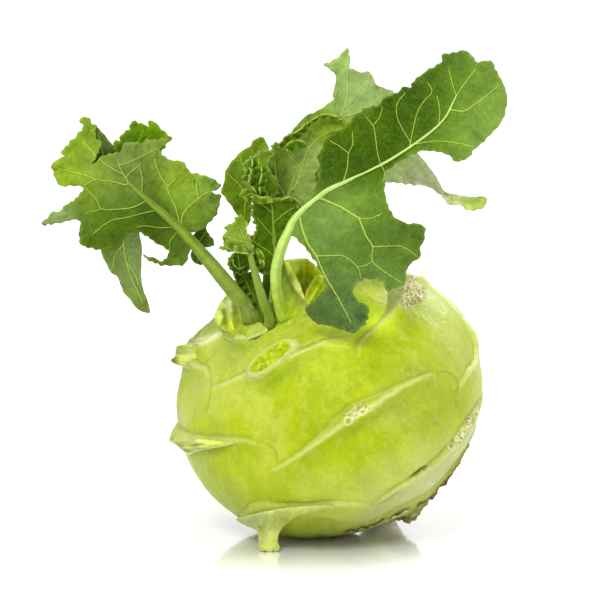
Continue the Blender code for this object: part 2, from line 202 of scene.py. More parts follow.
def depth_surface(marks):
    """A smooth surface through (across, up, depth) marks: a thin plate spline."""
    marks = np.array(marks, float)
    count = len(marks)

    def bending(places):
        gaps = np.linalg.norm(places[:, None, :] - marks[None, :, :2], axis=2)
        return gaps ** 2 * np.log(gaps + 1e-9)

    flat = np.c_[np.ones(count), marks[:, :2]]
    system = np.zeros((count + 3, count + 3))
    system[:count, :count] = bending(marks[:, :2])
    system[:count, count:] = flat
    system[count:, :count] = flat.T
    weights = np.linalg.solve(system, np.r_[marks[:, 2], np.zeros(3)])

    def depth(places):
        return bending(places) @ weights[:count] + np.c_[np.ones(len(places)), places] @ weights[count:]

    return depth


def inside(outline, places):
    result = np.zeros(len(places), bool)
    for (ax, ay), (bx, by) in zip(outline, np.roll(outline, -1, axis=0)):
        if ay != by:
            crosses = (ay > places[:, 1]) != (by > places[:, 1])
            result ^= crosses & (places[:, 0] < ax + (places[:, 1] - ay) * (bx - ax) / (by - ay))
    return result


def lattice(outline, spacing, clear):
    """A triangular lattice of places inside an outline, clear of its edge."""
    low = outline.min(axis=0)
    high = outline.max(axis=0)
    rows = np.arange(low[1], high[1], spacing * math.sqrt(3) / 2)
    places = np.array([(across, up) for i, up in enumerate(rows)
                       for across in np.arange(low[0] + (i % 2) * spacing / 2, high[0], spacing)])
    places = places[inside(outline, places)]
    return places[edge_distance(outline, places)[0] > clear]


def edge_distance(outline, places):
    """Distance from each place to the outline, and how far round the outline it is nearest."""
    around = np.r_[0, np.cumsum(np.linalg.norm(np.diff(outline, axis=0), axis=1))]
    distance = np.empty(len(places))
    where = np.empty(len(places))
    for start in range(0, len(places), 4000):
        gaps = np.linalg.norm(places[start:start + 4000, None] - outline[None], axis=2)
        nearest = gaps.argmin(axis=1)
        distance[start:start + 4000] = gaps[np.arange(len(gaps)), nearest]
        where[start:start + 4000] = around[nearest]
    return distance, where


def nearest_gap(places, others):
    """Distance from each of the others to the nearest of the places."""
    tree = kdtree.KDTree(len(places))
    for index, (across, up) in enumerate(places):
        tree.insert((across, up, 0), index)
    tree.balance()
    return np.array([tree.find((across, up, 0))[2] for across, up in others])


def thinned(places, size):
    """The places without any that share a small square with an earlier one."""
    squares = np.round(places / size).astype(int)
    _, first = np.unique(squares, axis=0, return_index=True)
    return places[np.sort(first)]


def toothed(outline, teeth, spacing, seed):
    """A finely drawn outline with irregular pointed teeth."""
    edge = smooth_line(outline, EDGE_STEP, closed=True)
    if ((edge[:, 0] * np.roll(edge[:, 1], -1)) - (np.roll(edge[:, 0], -1) * edge[:, 1])).sum() < 0:
        edge = edge[::-1]
    along = np.roll(edge, -1, axis=0) - np.roll(edge, 1, axis=0)
    outward = np.c_[along[:, 1], -along[:, 0]]
    outward /= np.linalg.norm(outward, axis=1, keepdims=True)
    round_edge = np.cumsum(np.linalg.norm(np.diff(edge, axis=0, append=edge[:1]), axis=1))
    wander = cells(edge, 5.0, seed)
    phase = round_edge / spacing + 0.8 * wander
    saw = 1 - np.abs(2 * (phase % 1) - 1)
    size = teeth * (0.55 + 0.6 * cells(edge, 7.0, seed + 3))
    return edge + outward * (size * saw ** 1.4 + 0.35 * teeth * cells(edge, 1.3, seed + 9))[:, None]


# ---------------------------------------------------------------- veins

class Veins:
    """A branching net of veins: drawn main veins, and small ones that grow to fill the blade."""

    def __init__(self, stalk, drawn, outline, spacing, seed):
        self.places = []
        self.parents = []
        self.main = []
        self.rib = smooth_line(stalk, VEIN_STEP)
        self.add_line(self.rib, None)
        for line in drawn:
            fine = smooth_line(line, VEIN_STEP)
            gaps = np.linalg.norm(np.array(self.places) - fine[0], axis=1)
            self.add_line(fine, int(gaps.argmin()))
        self.grow(outline, spacing, seed)
        self.measure()

    def add_line(self, line, parent):
        for place in line:
            self.places.append(place)
            self.parents.append(-1 if parent is None else parent)
            self.main.append(True)
            parent = len(self.places) - 1

    def grow(self, outline, spacing, seed):
        """Grows each vein tip towards the empty places around it, until none is left."""
        wanted = lattice(outline, spacing, 0.5)
        wanted = wanted + 0.45 * spacing * np.c_[cells(wanted, 0.7, seed), cells(wanted, 0.7, seed + 5)]
        known = np.array(self.places)
        gaps = np.linalg.norm(wanted[:, None] - known[None], axis=2)
        nearest = gaps.argmin(axis=1)
        distance = gaps.min(axis=1)
        for _ in range(60):
            keep = distance > 0.62 * spacing
            wanted, nearest, distance = wanted[keep], nearest[keep], distance[keep]
            if not len(wanted):
                break
            known = np.array(self.places)
            pull = (wanted - known[nearest]) / distance[:, None]
            first_new = len(known)
            for node in np.unique(nearest):
                mean = pull[nearest == node].mean(axis=0)
                size = np.linalg.norm(mean)
                if size > 0.15:
                    self.places.append(known[node] + mean / size * VEIN_STEP)
                    self.parents.append(int(node))
                    self.main.append(False)
            if len(self.places) == first_new:
                break
            fresh = np.array(self.places[first_new:])
            gaps = np.linalg.norm(wanted[:, None] - fresh[None], axis=2)
            closer = gaps.min(axis=1) < distance
            nearest[closer] = first_new + gaps.argmin(axis=1)[closer]
            distance = np.minimum(distance, gaps.min(axis=1))

    def measure(self):
        """Thickens each vein by what it feeds."""
        self.places = np.array(self.places)
        self.parents = np.array(self.parents)
        fed = np.ones(len(self.places))
        for node in range(len(self.places) - 1, 0, -1):
            if self.parents[node] >= 0:
                fed[self.parents[node]] += fed[node]
        self.radius = 0.05 + 0.017 * fed ** 0.42
        main = np.array(self.main)
        self.radius[main] = np.maximum(self.radius[main], 0.13)
        self.radius = np.minimum(self.radius, 0.36)

    def rib_gap(self, places):
        return nearest_gap(self.rib, places)

    def mesh_points(self):
        """Places along the middle of every vein, and then just beside it."""
        has = self.parents >= 0
        start = self.places[self.parents[has]]
        run = self.places[has] - start
        beside = np.c_[-run[:, 1], run[:, 0]] / (np.linalg.norm(run, axis=1, keepdims=True) + 1e-9)
        beside *= self.radius[has][:, None] + 0.12
        middles = [start + share * run for share in (0.5, 1.0)]
        return np.vstack(middles + [middle + side * beside for middle in middles for side in (-1, 1)])

    def nearness(self, places):
        """How much each place is on a vein, from 0 to 1, and how thick that vein is."""
        has = self.parents >= 0
        start = self.places[self.parents[has]]
        run = self.places[has] - start
        length = (run ** 2).sum(axis=1) + 1e-9
        radius = self.radius[has]
        on = np.zeros(len(places))
        thick = np.zeros(len(places))
        far = np.zeros(len(places))
        main = radius > 0.125
        for first in range(0, len(places), 1500):
            part = places[first:first + 1500]
            from_start = part[:, None] - start[None]
            t = np.clip((from_start * run[None]).sum(axis=2) / length[None], 0, 1)
            gap = np.linalg.norm(from_start - t[..., None] * run[None], axis=2)
            strength = np.exp(-(gap / (0.9 * radius + 0.05)[None]) ** 2) * np.minimum(1, radius / 0.15)[None]
            best = strength.argmax(axis=1)
            rows = np.arange(len(part))
            on[first:first + 1500] = strength[rows, best]
            thick[first:first + 1500] = radius[best]
            far[first:first + 1500] = gap[:, main].min(axis=1)
        return on, thick, far


# ---------------------------------------------------------------- leaves

def painted(places, marks, reach):
    """Colours at places, blended from (across, up, colour) marks."""
    spots = np.array([mark[:2] for mark in marks], float)
    colours = np.array([mark[2] for mark in marks], float)
    gaps = np.linalg.norm(places[:, None] - spots[None], axis=2)
    weight = np.exp(-(gaps / reach) ** 2) + 1e-6 / (gaps + 1)
    return (weight[..., None] * colours[None]).sum(axis=1) / weight.sum(axis=1, keepdims=True)


def make_blade(sheet, depth, veins, seed):
    """One thin sheet of a leaf as (points, faces, paint, vein)."""
    edge = toothed(sheet["outline"], sheet.get("teeth", 0.5), sheet.get("tooth_step", 3.2), seed)
    lines = veins.mesh_points()
    lines = lines[inside(edge, lines)]
    lines = thinned(lines[edge_distance(edge, lines)[0] > 0.2], 0.13)
    grid = sheet.get("grid", BLADE_GRID)
    open_places = lattice(edge, grid, 0.5 * grid)
    open_places = open_places[nearest_gap(lines, open_places) > 0.32]
    drawn = np.vstack([edge, lines, open_places])
    flat, _, triangles, _, _, _ = geometry.delaunay_2d_cdt(
        [Vector(p) for p in drawn], [], [tuple(range(len(edge)))], 1, 1e-5)
    flat = np.array([list(p) for p in flat])
    from_edge, around = edge_distance(edge, flat)
    on, thick, far = veins.nearness(flat)

    ruffle = sheet.get("ruffle", 1.0)
    wave = sheet.get("wave", 9.0)
    near_edge = np.exp(-(from_edge / sheet.get("ruffle_reach", 5.0)) ** 2)
    swing = np.sin(2 * math.pi * around / wave + 2 * seed) + 0.5 * np.sin(2 * math.pi * around / (
        0.53 * wave))
    bend = ruffle * near_edge * swing * (0.6 + 0.5 * cells(flat, 14.0, seed))
    bend += sheet.get("roll", 0.9) * cells(flat, 11.0, seed + 1)
    bend *= 1 - np.exp(-(veins.rib_gap(flat) / 3.5) ** 2)
    quilt = sheet.get("quilt", 0.55) * (1 - np.exp(-(far / 2.4) ** 2)) * (1 - 0.6 * near_edge)
    front_is_top = sheet.get("front_is_top", True)
    out = -1.0 if front_is_top else 1.0

    def level(places, extra):
        return depth(places) + extra

    here = level(flat, bend + out * quilt)
    step = 0.05
    slope_across = (depth(flat + [step, 0]) - depth(flat)) / step
    slope_up = (depth(flat + [0, step]) - depth(flat)) / step
    middle = sheet_points(flat, here)
    lean_sin, lean_cos = math.sin(SHEET_LEAN), math.cos(SHEET_LEAN)
    tangent_across = np.stack([np.ones(len(flat)), slope_across, -slope_across * lean_sin / lean_cos], -1)
    tangent_up = np.stack([np.zeros(len(flat)), slope_up, (1 - slope_up * lean_sin) / lean_cos], -1)
    normal = np.cross(tangent_across, tangent_up)
    normal /= np.linalg.norm(normal, axis=1, keepdims=True)

    half = 0.5 * sheet.get("thickness", 0.5) * (0.55 + 0.45 * ramp(from_edge, 0, 0.8))
    relief = on * thick * sheet.get("relief", 1.0)
    raised = 0.9 * relief
    sunk = -0.35 * relief
    front = half + (sunk if front_is_top else raised)
    behind = half + (raised if front_is_top else sunk)
    points = np.vstack([middle + normal * front[:, None], middle - normal * behind[:, None]])

    count = len(flat)
    faces = []
    borders = set()
    for tri in triangles:
        a, b, c = tri
        faces.append((a, b, c))
        faces.append((c + count, b + count, a + count))
        for pair in ((a, b), (b, c), (c, a)):
            if (pair[1], pair[0]) in borders:
                borders.remove((pair[1], pair[0]))
            else:
                borders.add(pair)
    for a, b in sorted(borders):
        faces.append((b, a, a + count, b + count))

    paint = painted(flat, sheet["paint"], sheet.get("reach", 7.0))
    paint = paint * (1 + 0.10 * cells(flat, 6.0, seed + 4) + 0.06 * cells(flat, 1.6, seed + 6))[:, None]
    paint = paint * (1 + 0.10 * np.exp(-(far / 0.9) ** 2))[:, None]
    if "streak" in sheet:
        angle, strength = math.radians(sheet["streak"][0]), sheet["streak"][1]
        grain = flat @ np.array([[math.cos(angle), -math.sin(angle)], [math.sin(angle), math.cos(angle)]])
        paint = paint * (1 + 0.5 * strength * cells(grain * [0.16, 1.0], 0.8, seed + 11))[:, None]
    # Paler margin: partly the leaf's own edge colour and partly a painted highlight along the edge
    rim = np.exp(-(from_edge / 0.45) ** 2)[:, None] * sheet.get("rim", 0.35)
    paint = paint * (1 - rim) + rim * np.array(sheet.get("rim_colour", VEIN_YELLOW))
    other = np.array(sheet.get("other", PALE)) * (1 + 0.12 * cells(flat, 5.0, seed + 8))[:, None]
    vein = np.clip(on * (0.55 + 1.45 * np.minimum(0.4, thick)), 0, 1)
    return points, faces, np.vstack([paint, other]), np.r_[vein, vein * 0.9]


def make_frill(plan, seed):
    """A crimped ribbon along a path, as the curled margin of a young leaf."""
    path = smooth_line(plan["path"], 0.28)
    count, columns = len(path), 12
    walked = 0.28 * np.arange(count)
    along = np.gradient(path[:, :2], axis=0)
    along /= np.linalg.norm(along, axis=1, keepdims=True)
    outward = np.c_[along[:, 1], -along[:, 0]] * plan.get("side", 1)
    share = np.linspace(0, 1, columns)[None, :]
    wave = plan.get("wave", 3.2)
    phase = 2 * math.pi * walked / wave + 1.5 * cells(path[:, :2], 4.0, seed)
    tooth = 0.75 + 0.18 * cells(path[:, :2], 2.2, seed + 2) + 0.12 * np.abs(np.sin(2.3 * phase))
    taper = np.sin(math.pi * np.clip(walked / walked[-1], 0.03, 0.97)) ** 0.4
    reach = plan["width"] * (tooth * taper)[:, None] * share
    curl = plan.get("curl", 1.1) * share ** 1.3
    sway = 0.5 * curl * np.cos(phase)[:, None]
    places = path[:, None, :2] + outward[:, None] * reach[..., None] + along[:, None] * sway[..., None]
    depth = path[:, None, 2] + curl * np.sin(phase)[:, None] + plan.get("tip", 0.0) * share
    middle = sheet_points(places.reshape(-1, 2), depth.reshape(-1)).reshape(count, columns, 3)
    normal = np.cross(np.gradient(middle, axis=0), np.gradient(middle, axis=1))
    normal /= np.linalg.norm(normal, axis=2, keepdims=True) + 1e-9
    points = np.concatenate([(middle - 0.16 * normal).reshape(-1, 3),
                             (middle + 0.16 * normal).reshape(-1, 3)])
    size = count * columns
    faces = []
    for i in range(count - 1):
        for j in range(columns - 1):
            a = i * columns + j
            quad = (a, a + 1, a + columns + 1, a + columns)
            faces.append(quad)
            faces.append(tuple(v + size for v in reversed(quad)))
    loop = [j for j in range(columns)] + [i * columns + columns - 1 for i in range(1, count)]
    loop += [size - 1 - j for j in range(1, columns)] + [i * columns for i in range(count - 2, 0, -1)]
    for a, b in zip(loop, loop[1:] + loop[:1]):
        faces.append((b, a, a + size, b + size))
    # The rim colour at the outer edge: partly the margin's own pale colour and partly a painted highlight on
    # the crinkled edge
    base, rim = np.array(plan["colour"]), np.array(plan.get("rim", (0.84, 0.93, 0.46)))
    pale = (np.broadcast_to(share, (count, columns)) ** 6).reshape(-1, 1)
    shade = (0.98 + 0.22 * np.sin(phase + 0.8))[:, None] * np.ones((1, columns))
    paint = (base * shade.reshape(-1, 1)) * (1 - 0.92 * pale) + rim * 0.92 * pale
    vein = (np.cos(1.7 * phase)[:, None] ** 14 * (1 - share) * 0.6).reshape(-1)
    return points, faces, np.vstack([paint, paint]), np.r_[vein, vein]


def crown_point(across, back, above):
    side, behind, axis = BULB_FRAME
    return BULB_CENTRE + across * side + back * behind + (CROWN_LEVEL + above) * axis


def bulb_frame():
    side = np.array([1.0, 0, 0]) - BULB_AXIS[0] * BULB_AXIS
    side /= np.linalg.norm(side)
    return np.array([side, np.cross(BULB_AXIS, side), BULB_AXIS])


BULB_FRAME = bulb_frame()


def make_stalk(knots, leaf, seed, flat, groove):
    """A fleshy stalk with fine streaks along it, paler towards the blade."""
    route = smooth_line(knots, STALK_STEP)
    points, faces = tube(route[:, :3], route[:, 3], STALK_SIDES, flat=flat, groove=groove,
                         groove_side=(0.35, -1, 0.2))
    ring_place = np.r_[np.repeat(np.arange(len(route)), STALK_SIDES), 0, len(route) - 1]
    share = ring_place / (len(route) - 1)
    low, high = np.array(leaf["stalk_low"]), np.array(leaf["stalk_high"])
    paint = low + (high - low) * ramp(share, 0.05, 0.6)[:, None]
    foot = 0.75 * (1 - ramp(share, 0.0, leaf.get("foot_share", 0.12)))[:, None]
    paint = paint * (1 - foot) + foot * np.array(leaf.get("foot_colour", (0.46, 0.56, 0.06)))
    angle = 2 * math.pi * np.r_[np.tile(np.arange(STALK_SIDES), len(route)), 0, 0] / STALK_SIDES
    streak = cells(np.c_[2.4 * np.cos(angle), 2.4 * np.sin(angle), ring_place * 0.02], 1.0, seed + 0.3)
    paint = paint * (1 + 0.22 * streak + 0.06 * cells(points, 1.5, seed))[:, None]
    return points, faces, paint, 0.12 + 0 * share


def make_sheet(sheet, more_marks, midrib, seed):
    depth = depth_surface(list(sheet["marks"]) + list(more_marks))
    edge = smooth_line(sheet["outline"], 1.0, closed=True)
    veins = Veins(midrib, sheet.get("veins", ()), edge, sheet.get("vein_spacing", 2.3), seed)
    return make_blade(sheet, depth, veins, seed)


def make_leaf(name, leaf, number):
    """One leaf: its stalk with the midrib, and its blade sheets."""
    across, back, radius = leaf["foot"]
    base = crown_point(across, back, -FOOT_DEPTH)
    rise = crown_point(across, back, LEAF_GAP + 1.5)
    slim = leaf.get("slim", 0.95)
    knots = [(*base, radius * 1.2 * slim), (*rise, radius * 1.1 * slim)]
    stalk = np.array(leaf["stalk"], float)
    knots += [(*p, r) for p, r in zip(sheet_points(stalk[:, :2], stalk[:, 2]), stalk[:, 3] * slim)]
    parts = [make_stalk(knots, leaf, number, 0.95, 0.25)]
    parts += [make_frill(frill, number + 1.7 * order) for order, frill in enumerate(leaf.get("frills", ()))]

    flat_stalk = [on_sheet(rise)] + [tuple(p[:3]) for p in stalk]
    for order, sheet in enumerate(leaf["sheets"]):
        marks = () if sheet.get("alone", False) else flat_stalk
        midrib = sheet.get("midrib") or [p[:2] for p in stalk[sheet.get("midrib_from", 0):]]
        parts.append(make_sheet(sheet, marks, midrib, 3.7 * number + 1.3 * order + 0.41))
    points, faces, paint, vein = joined(parts)
    thing = add_mesh(name + "_look", points, faces, paint, leaf.get("depth", LEAF_DEPTH), vein=vein)
    thing.data.materials.append(LEAF_MATERIALS[leaf["slot"]])
    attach(thing, "root")
    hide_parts(name)
    return thing


# ---------------------------------------------------------------- materials

class Nodes:
    """A material under construction, with short calls for its nodes."""

    def __init__(self, name):
        self.material = bpy.data.materials.new(name)
        self.material.use_nodes = True
        self.tree = self.material.node_tree
        self.shader = self.tree.nodes["Principled BSDF"]
        self.output = self.tree.nodes["Material Output"]

    def add(self, kind, **settings):
        node = self.tree.nodes.new(kind)
        for key, value in settings.items():
            setattr(node, key, value)
        return node

    def link(self, source, target):
        self.tree.links.new(source, target)

    def attribute(self, name, output="Fac"):
        node = self.add("ShaderNodeAttribute", attribute_name=name)
        return node.outputs[output]

    def place(self):
        return self.add("ShaderNodeTexCoord").outputs["Object"]

    def noise(self, scale, detail=3.0):
        node = self.add("ShaderNodeTexNoise")
        node.inputs["Scale"].default_value = scale
        node.inputs["Detail"].default_value = detail
        node.inputs["Roughness"].default_value = NOISE_ROUGHNESS
        self.link(self.place(), node.inputs["Vector"])
        return node.outputs["Fac"]

    def cell_edges(self, scale):
        node = self.add("ShaderNodeTexVoronoi", feature="DISTANCE_TO_EDGE")
        node.inputs["Scale"].default_value = scale
        self.link(self.place(), node.inputs["Vector"])
        return node.outputs["Distance"]

    def cell_spots(self, scale):
        node = self.add("ShaderNodeTexVoronoi", feature="F1")
        node.inputs["Scale"].default_value = scale
        self.link(self.place(), node.inputs["Vector"])
        return node.outputs["Distance"]

    def remap(self, source, low, high, to_low=0.0, to_high=1.0):
        node = self.add("ShaderNodeMapRange", interpolation_type="SMOOTHSTEP")
        for key, value in zip(("From Min", "From Max", "To Min", "To Max"), (low, high, to_low, to_high)):
            node.inputs[key].default_value = value
        self.link(source, node.inputs["Value"])
        return node.outputs["Result"]

    def maths(self, operation, a, b):
        node = self.add("ShaderNodeMath", operation=operation)
        for socket, value in zip(node.inputs, (a, b)):
            if isinstance(value, (int, float)):
                socket.default_value = value
            else:
                self.link(value, socket)
        return node.outputs[0]

    def mix(self, factor, a, b, blend="MIX"):
        node = self.add("ShaderNodeMix", data_type="RGBA", blend_type=blend)
        for socket, value in zip((node.inputs[0], node.inputs[6], node.inputs[7]), (factor, a, b)):
            if isinstance(value, (int, float)):
                socket.default_value = value
            elif isinstance(value, tuple):
                socket.default_value = (*linear(value), 1.0)
            else:
                self.link(value, socket)
        return node.outputs[2]

    def grey(self, value):
        node = self.add("ShaderNodeCombineColor")
        for socket in node.inputs:
            self.link(value, socket)
        return node.outputs[0]

    def bump(self, height, strength, distance, under=None):
        node = self.add("ShaderNodeBump")
        node.inputs["Strength"].default_value = strength
        node.inputs["Distance"].default_value = distance
        self.link(height, node.inputs["Height"])
        if under is not None:
            self.link(under, node.inputs["Normal"])
        return node.outputs["Normal"]


def leaf_material(name, vein_colour, roughness, glow):
    """Leaf flesh: painted greens, pale veins with painted shade beside them, a fine net between them, and
    light that shines through.
    """
    n = Nodes(name)
    paint = n.attribute("paint", "Color")
    vein = n.attribute("vein")
    net = n.remap(n.cell_edges(900.0), 0.0, 0.09, 1.0, 0.0)
    blade = n.remap(vein, 0.02, 0.12, 1.0, 0.0)
    small_veins = n.maths("MULTIPLY", n.remap(n.cell_edges(250.0), 0.0, 0.05, 1.0, 0.0), blade)
    mottle = n.remap(n.noise(260.0, 4.0), 0.3, 0.7, 0.85, 1.06)
    fine = n.remap(n.noise(1150.0, 3.0), 0.32, 0.68, 0.95, 1.05)
    colour = n.mix(1.0, paint, n.grey(n.maths("MULTIPLY", mottle, fine)), "MULTIPLY")
    # Painted shade in a narrow band beside each vein, for the relief along it
    shade_beside_vein = n.maths("MULTIPLY", n.remap(vein, 0.01, 0.07, 0.0, 1.0),
                          n.remap(vein, 0.07, 0.11, 1.0, 0.0))
    colour = n.mix(n.maths("MULTIPLY", shade_beside_vein, 0.30), colour,
                   n.mix(1.0, colour, (0.35, 0.45, 0.2), "MULTIPLY"))
    colour = n.mix(n.maths("MULTIPLY", net, 0.07), colour, vein_colour)
    colour = n.mix(n.maths("MULTIPLY", small_veins, 0.045), colour, vein_colour)
    colour = n.mix(n.remap(vein, 0.18, 0.76, 0.0, 0.92), colour, vein_colour)
    n.link(colour, n.shader.inputs["Base Color"])
    n.link(n.remap(n.noise(700.0), 0.3, 0.7, roughness - 0.08, roughness + 0.1),
           n.shader.inputs["Roughness"])
    n.shader.inputs["Specular IOR Level"].default_value = 0.16
    n.shader.inputs["Specular Tint"].default_value = (0.55, 0.75, 0.20, 1)
    puckers = n.maths("MULTIPLY", n.remap(n.cell_edges(250.0), 0.0, 0.4, -0.55, 0.0), blade)
    crinkle = n.maths("ADD", n.maths("MULTIPLY", n.noise(520.0, 4.0), 0.6), puckers)
    normal = n.bump(crinkle, 0.7, 0.0009)
    n.link(normal, n.shader.inputs["Normal"])
    through = n.add("ShaderNodeBsdfTranslucent")
    n.link(n.mix(0.3, colour, (0.60, 0.74, 0.05)), through.inputs["Color"])
    n.link(normal, through.inputs["Normal"])
    both = n.add("ShaderNodeMixShader")
    both.inputs[0].default_value = glow
    n.link(n.shader.outputs[0], both.inputs[1])
    n.link(through.outputs[0], both.inputs[2])
    n.link(both.outputs[0], n.output.inputs["Surface"])
    return n.material


def skin_material():
    """Waxy stem skin: painted greens with pale specks, soft mottling and rough corky scars."""
    n = Nodes("bulb_skin")
    paint = n.attribute("paint", "Color")
    cork = n.attribute("cork")
    mottle = n.remap(n.noise(120.0, 5.0), 0.3, 0.7, 0.92, 1.07)
    fine_mottle = n.remap(n.noise(900.0, 3.0), 0.32, 0.68, 0.94, 1.06)
    colour = n.mix(1.0, paint, n.grey(n.maths("MULTIPLY", mottle, fine_mottle)), "MULTIPLY")
    bloom = n.remap(n.noise(420.0, 4.0), 0.5, 0.72, 0.0, 0.17)
    colour = n.mix(bloom, colour, (0.74, 0.78, 0.42))
    specks = n.remap(n.cell_spots(620.0), 0.08, 0.2, 0.22, 0.0)
    gate = n.remap(n.noise(150.0, 2.0), 0.45, 0.6)
    colour = n.mix(n.maths("MULTIPLY", specks, gate), colour, (0.80, 0.84, 0.50))
    grain = n.remap(n.noise(1500.0, 4.0), 0.45, 0.62)
    colour = n.mix(n.maths("MULTIPLY", n.maths("MULTIPLY", grain, cork), 0.6), colour, (0.84, 0.82, 0.62))
    holes = n.remap(n.cell_spots(1100.0), 0.05, 0.28, 1.0, 0.0)
    colour = n.mix(n.maths("MULTIPLY", n.maths("MULTIPLY", holes, cork), 0.7), colour, (0.40, 0.33, 0.14))
    n.link(colour, n.shader.inputs["Base Color"])
    gloss = n.remap(n.noise(240.0, 4.0), 0.3, 0.7, 0.34, 0.52)
    n.link(n.maths("ADD", gloss, n.maths("MULTIPLY", cork, 0.3)), n.shader.inputs["Roughness"])
    n.shader.inputs["Specular IOR Level"].default_value = 0.3
    n.shader.inputs["Specular Tint"].default_value = (0.75, 0.85, 0.25, 1)
    n.shader.inputs["Subsurface Weight"].default_value = 0.18
    n.shader.inputs["Subsurface Radius"].default_value = (1.0, 1.0, 0.25)
    n.shader.inputs["Subsurface Scale"].default_value = 0.003
    fine = n.maths("ADD", n.noise(900.0, 5.0), n.maths("MULTIPLY", n.maths("MULTIPLY", holes, cork), -1.5))
    broad = n.noise(130.0, 3.0)
    normal = n.bump(fine, 0.35, 0.00035, n.bump(broad, 0.35, 0.0012))
    n.link(normal, n.shader.inputs["Normal"])
    return n.material


LEAF_MATERIALS = {
    "leaf_dark": leaf_material("leaf_dark", VEIN_YELLOW, 0.42, 0.28),
    "leaf_under": leaf_material("leaf_under", VEIN_YELLOW, 0.50, 0.34),
    "leaf_pale": leaf_material("leaf_pale", VEIN_PALE, 0.55, 0.48),
    "leaf_young": leaf_material("leaf_young", VEIN_YELLOW, 0.42, 0.30),
}


# ---------------------------------------------------------------- the leaves

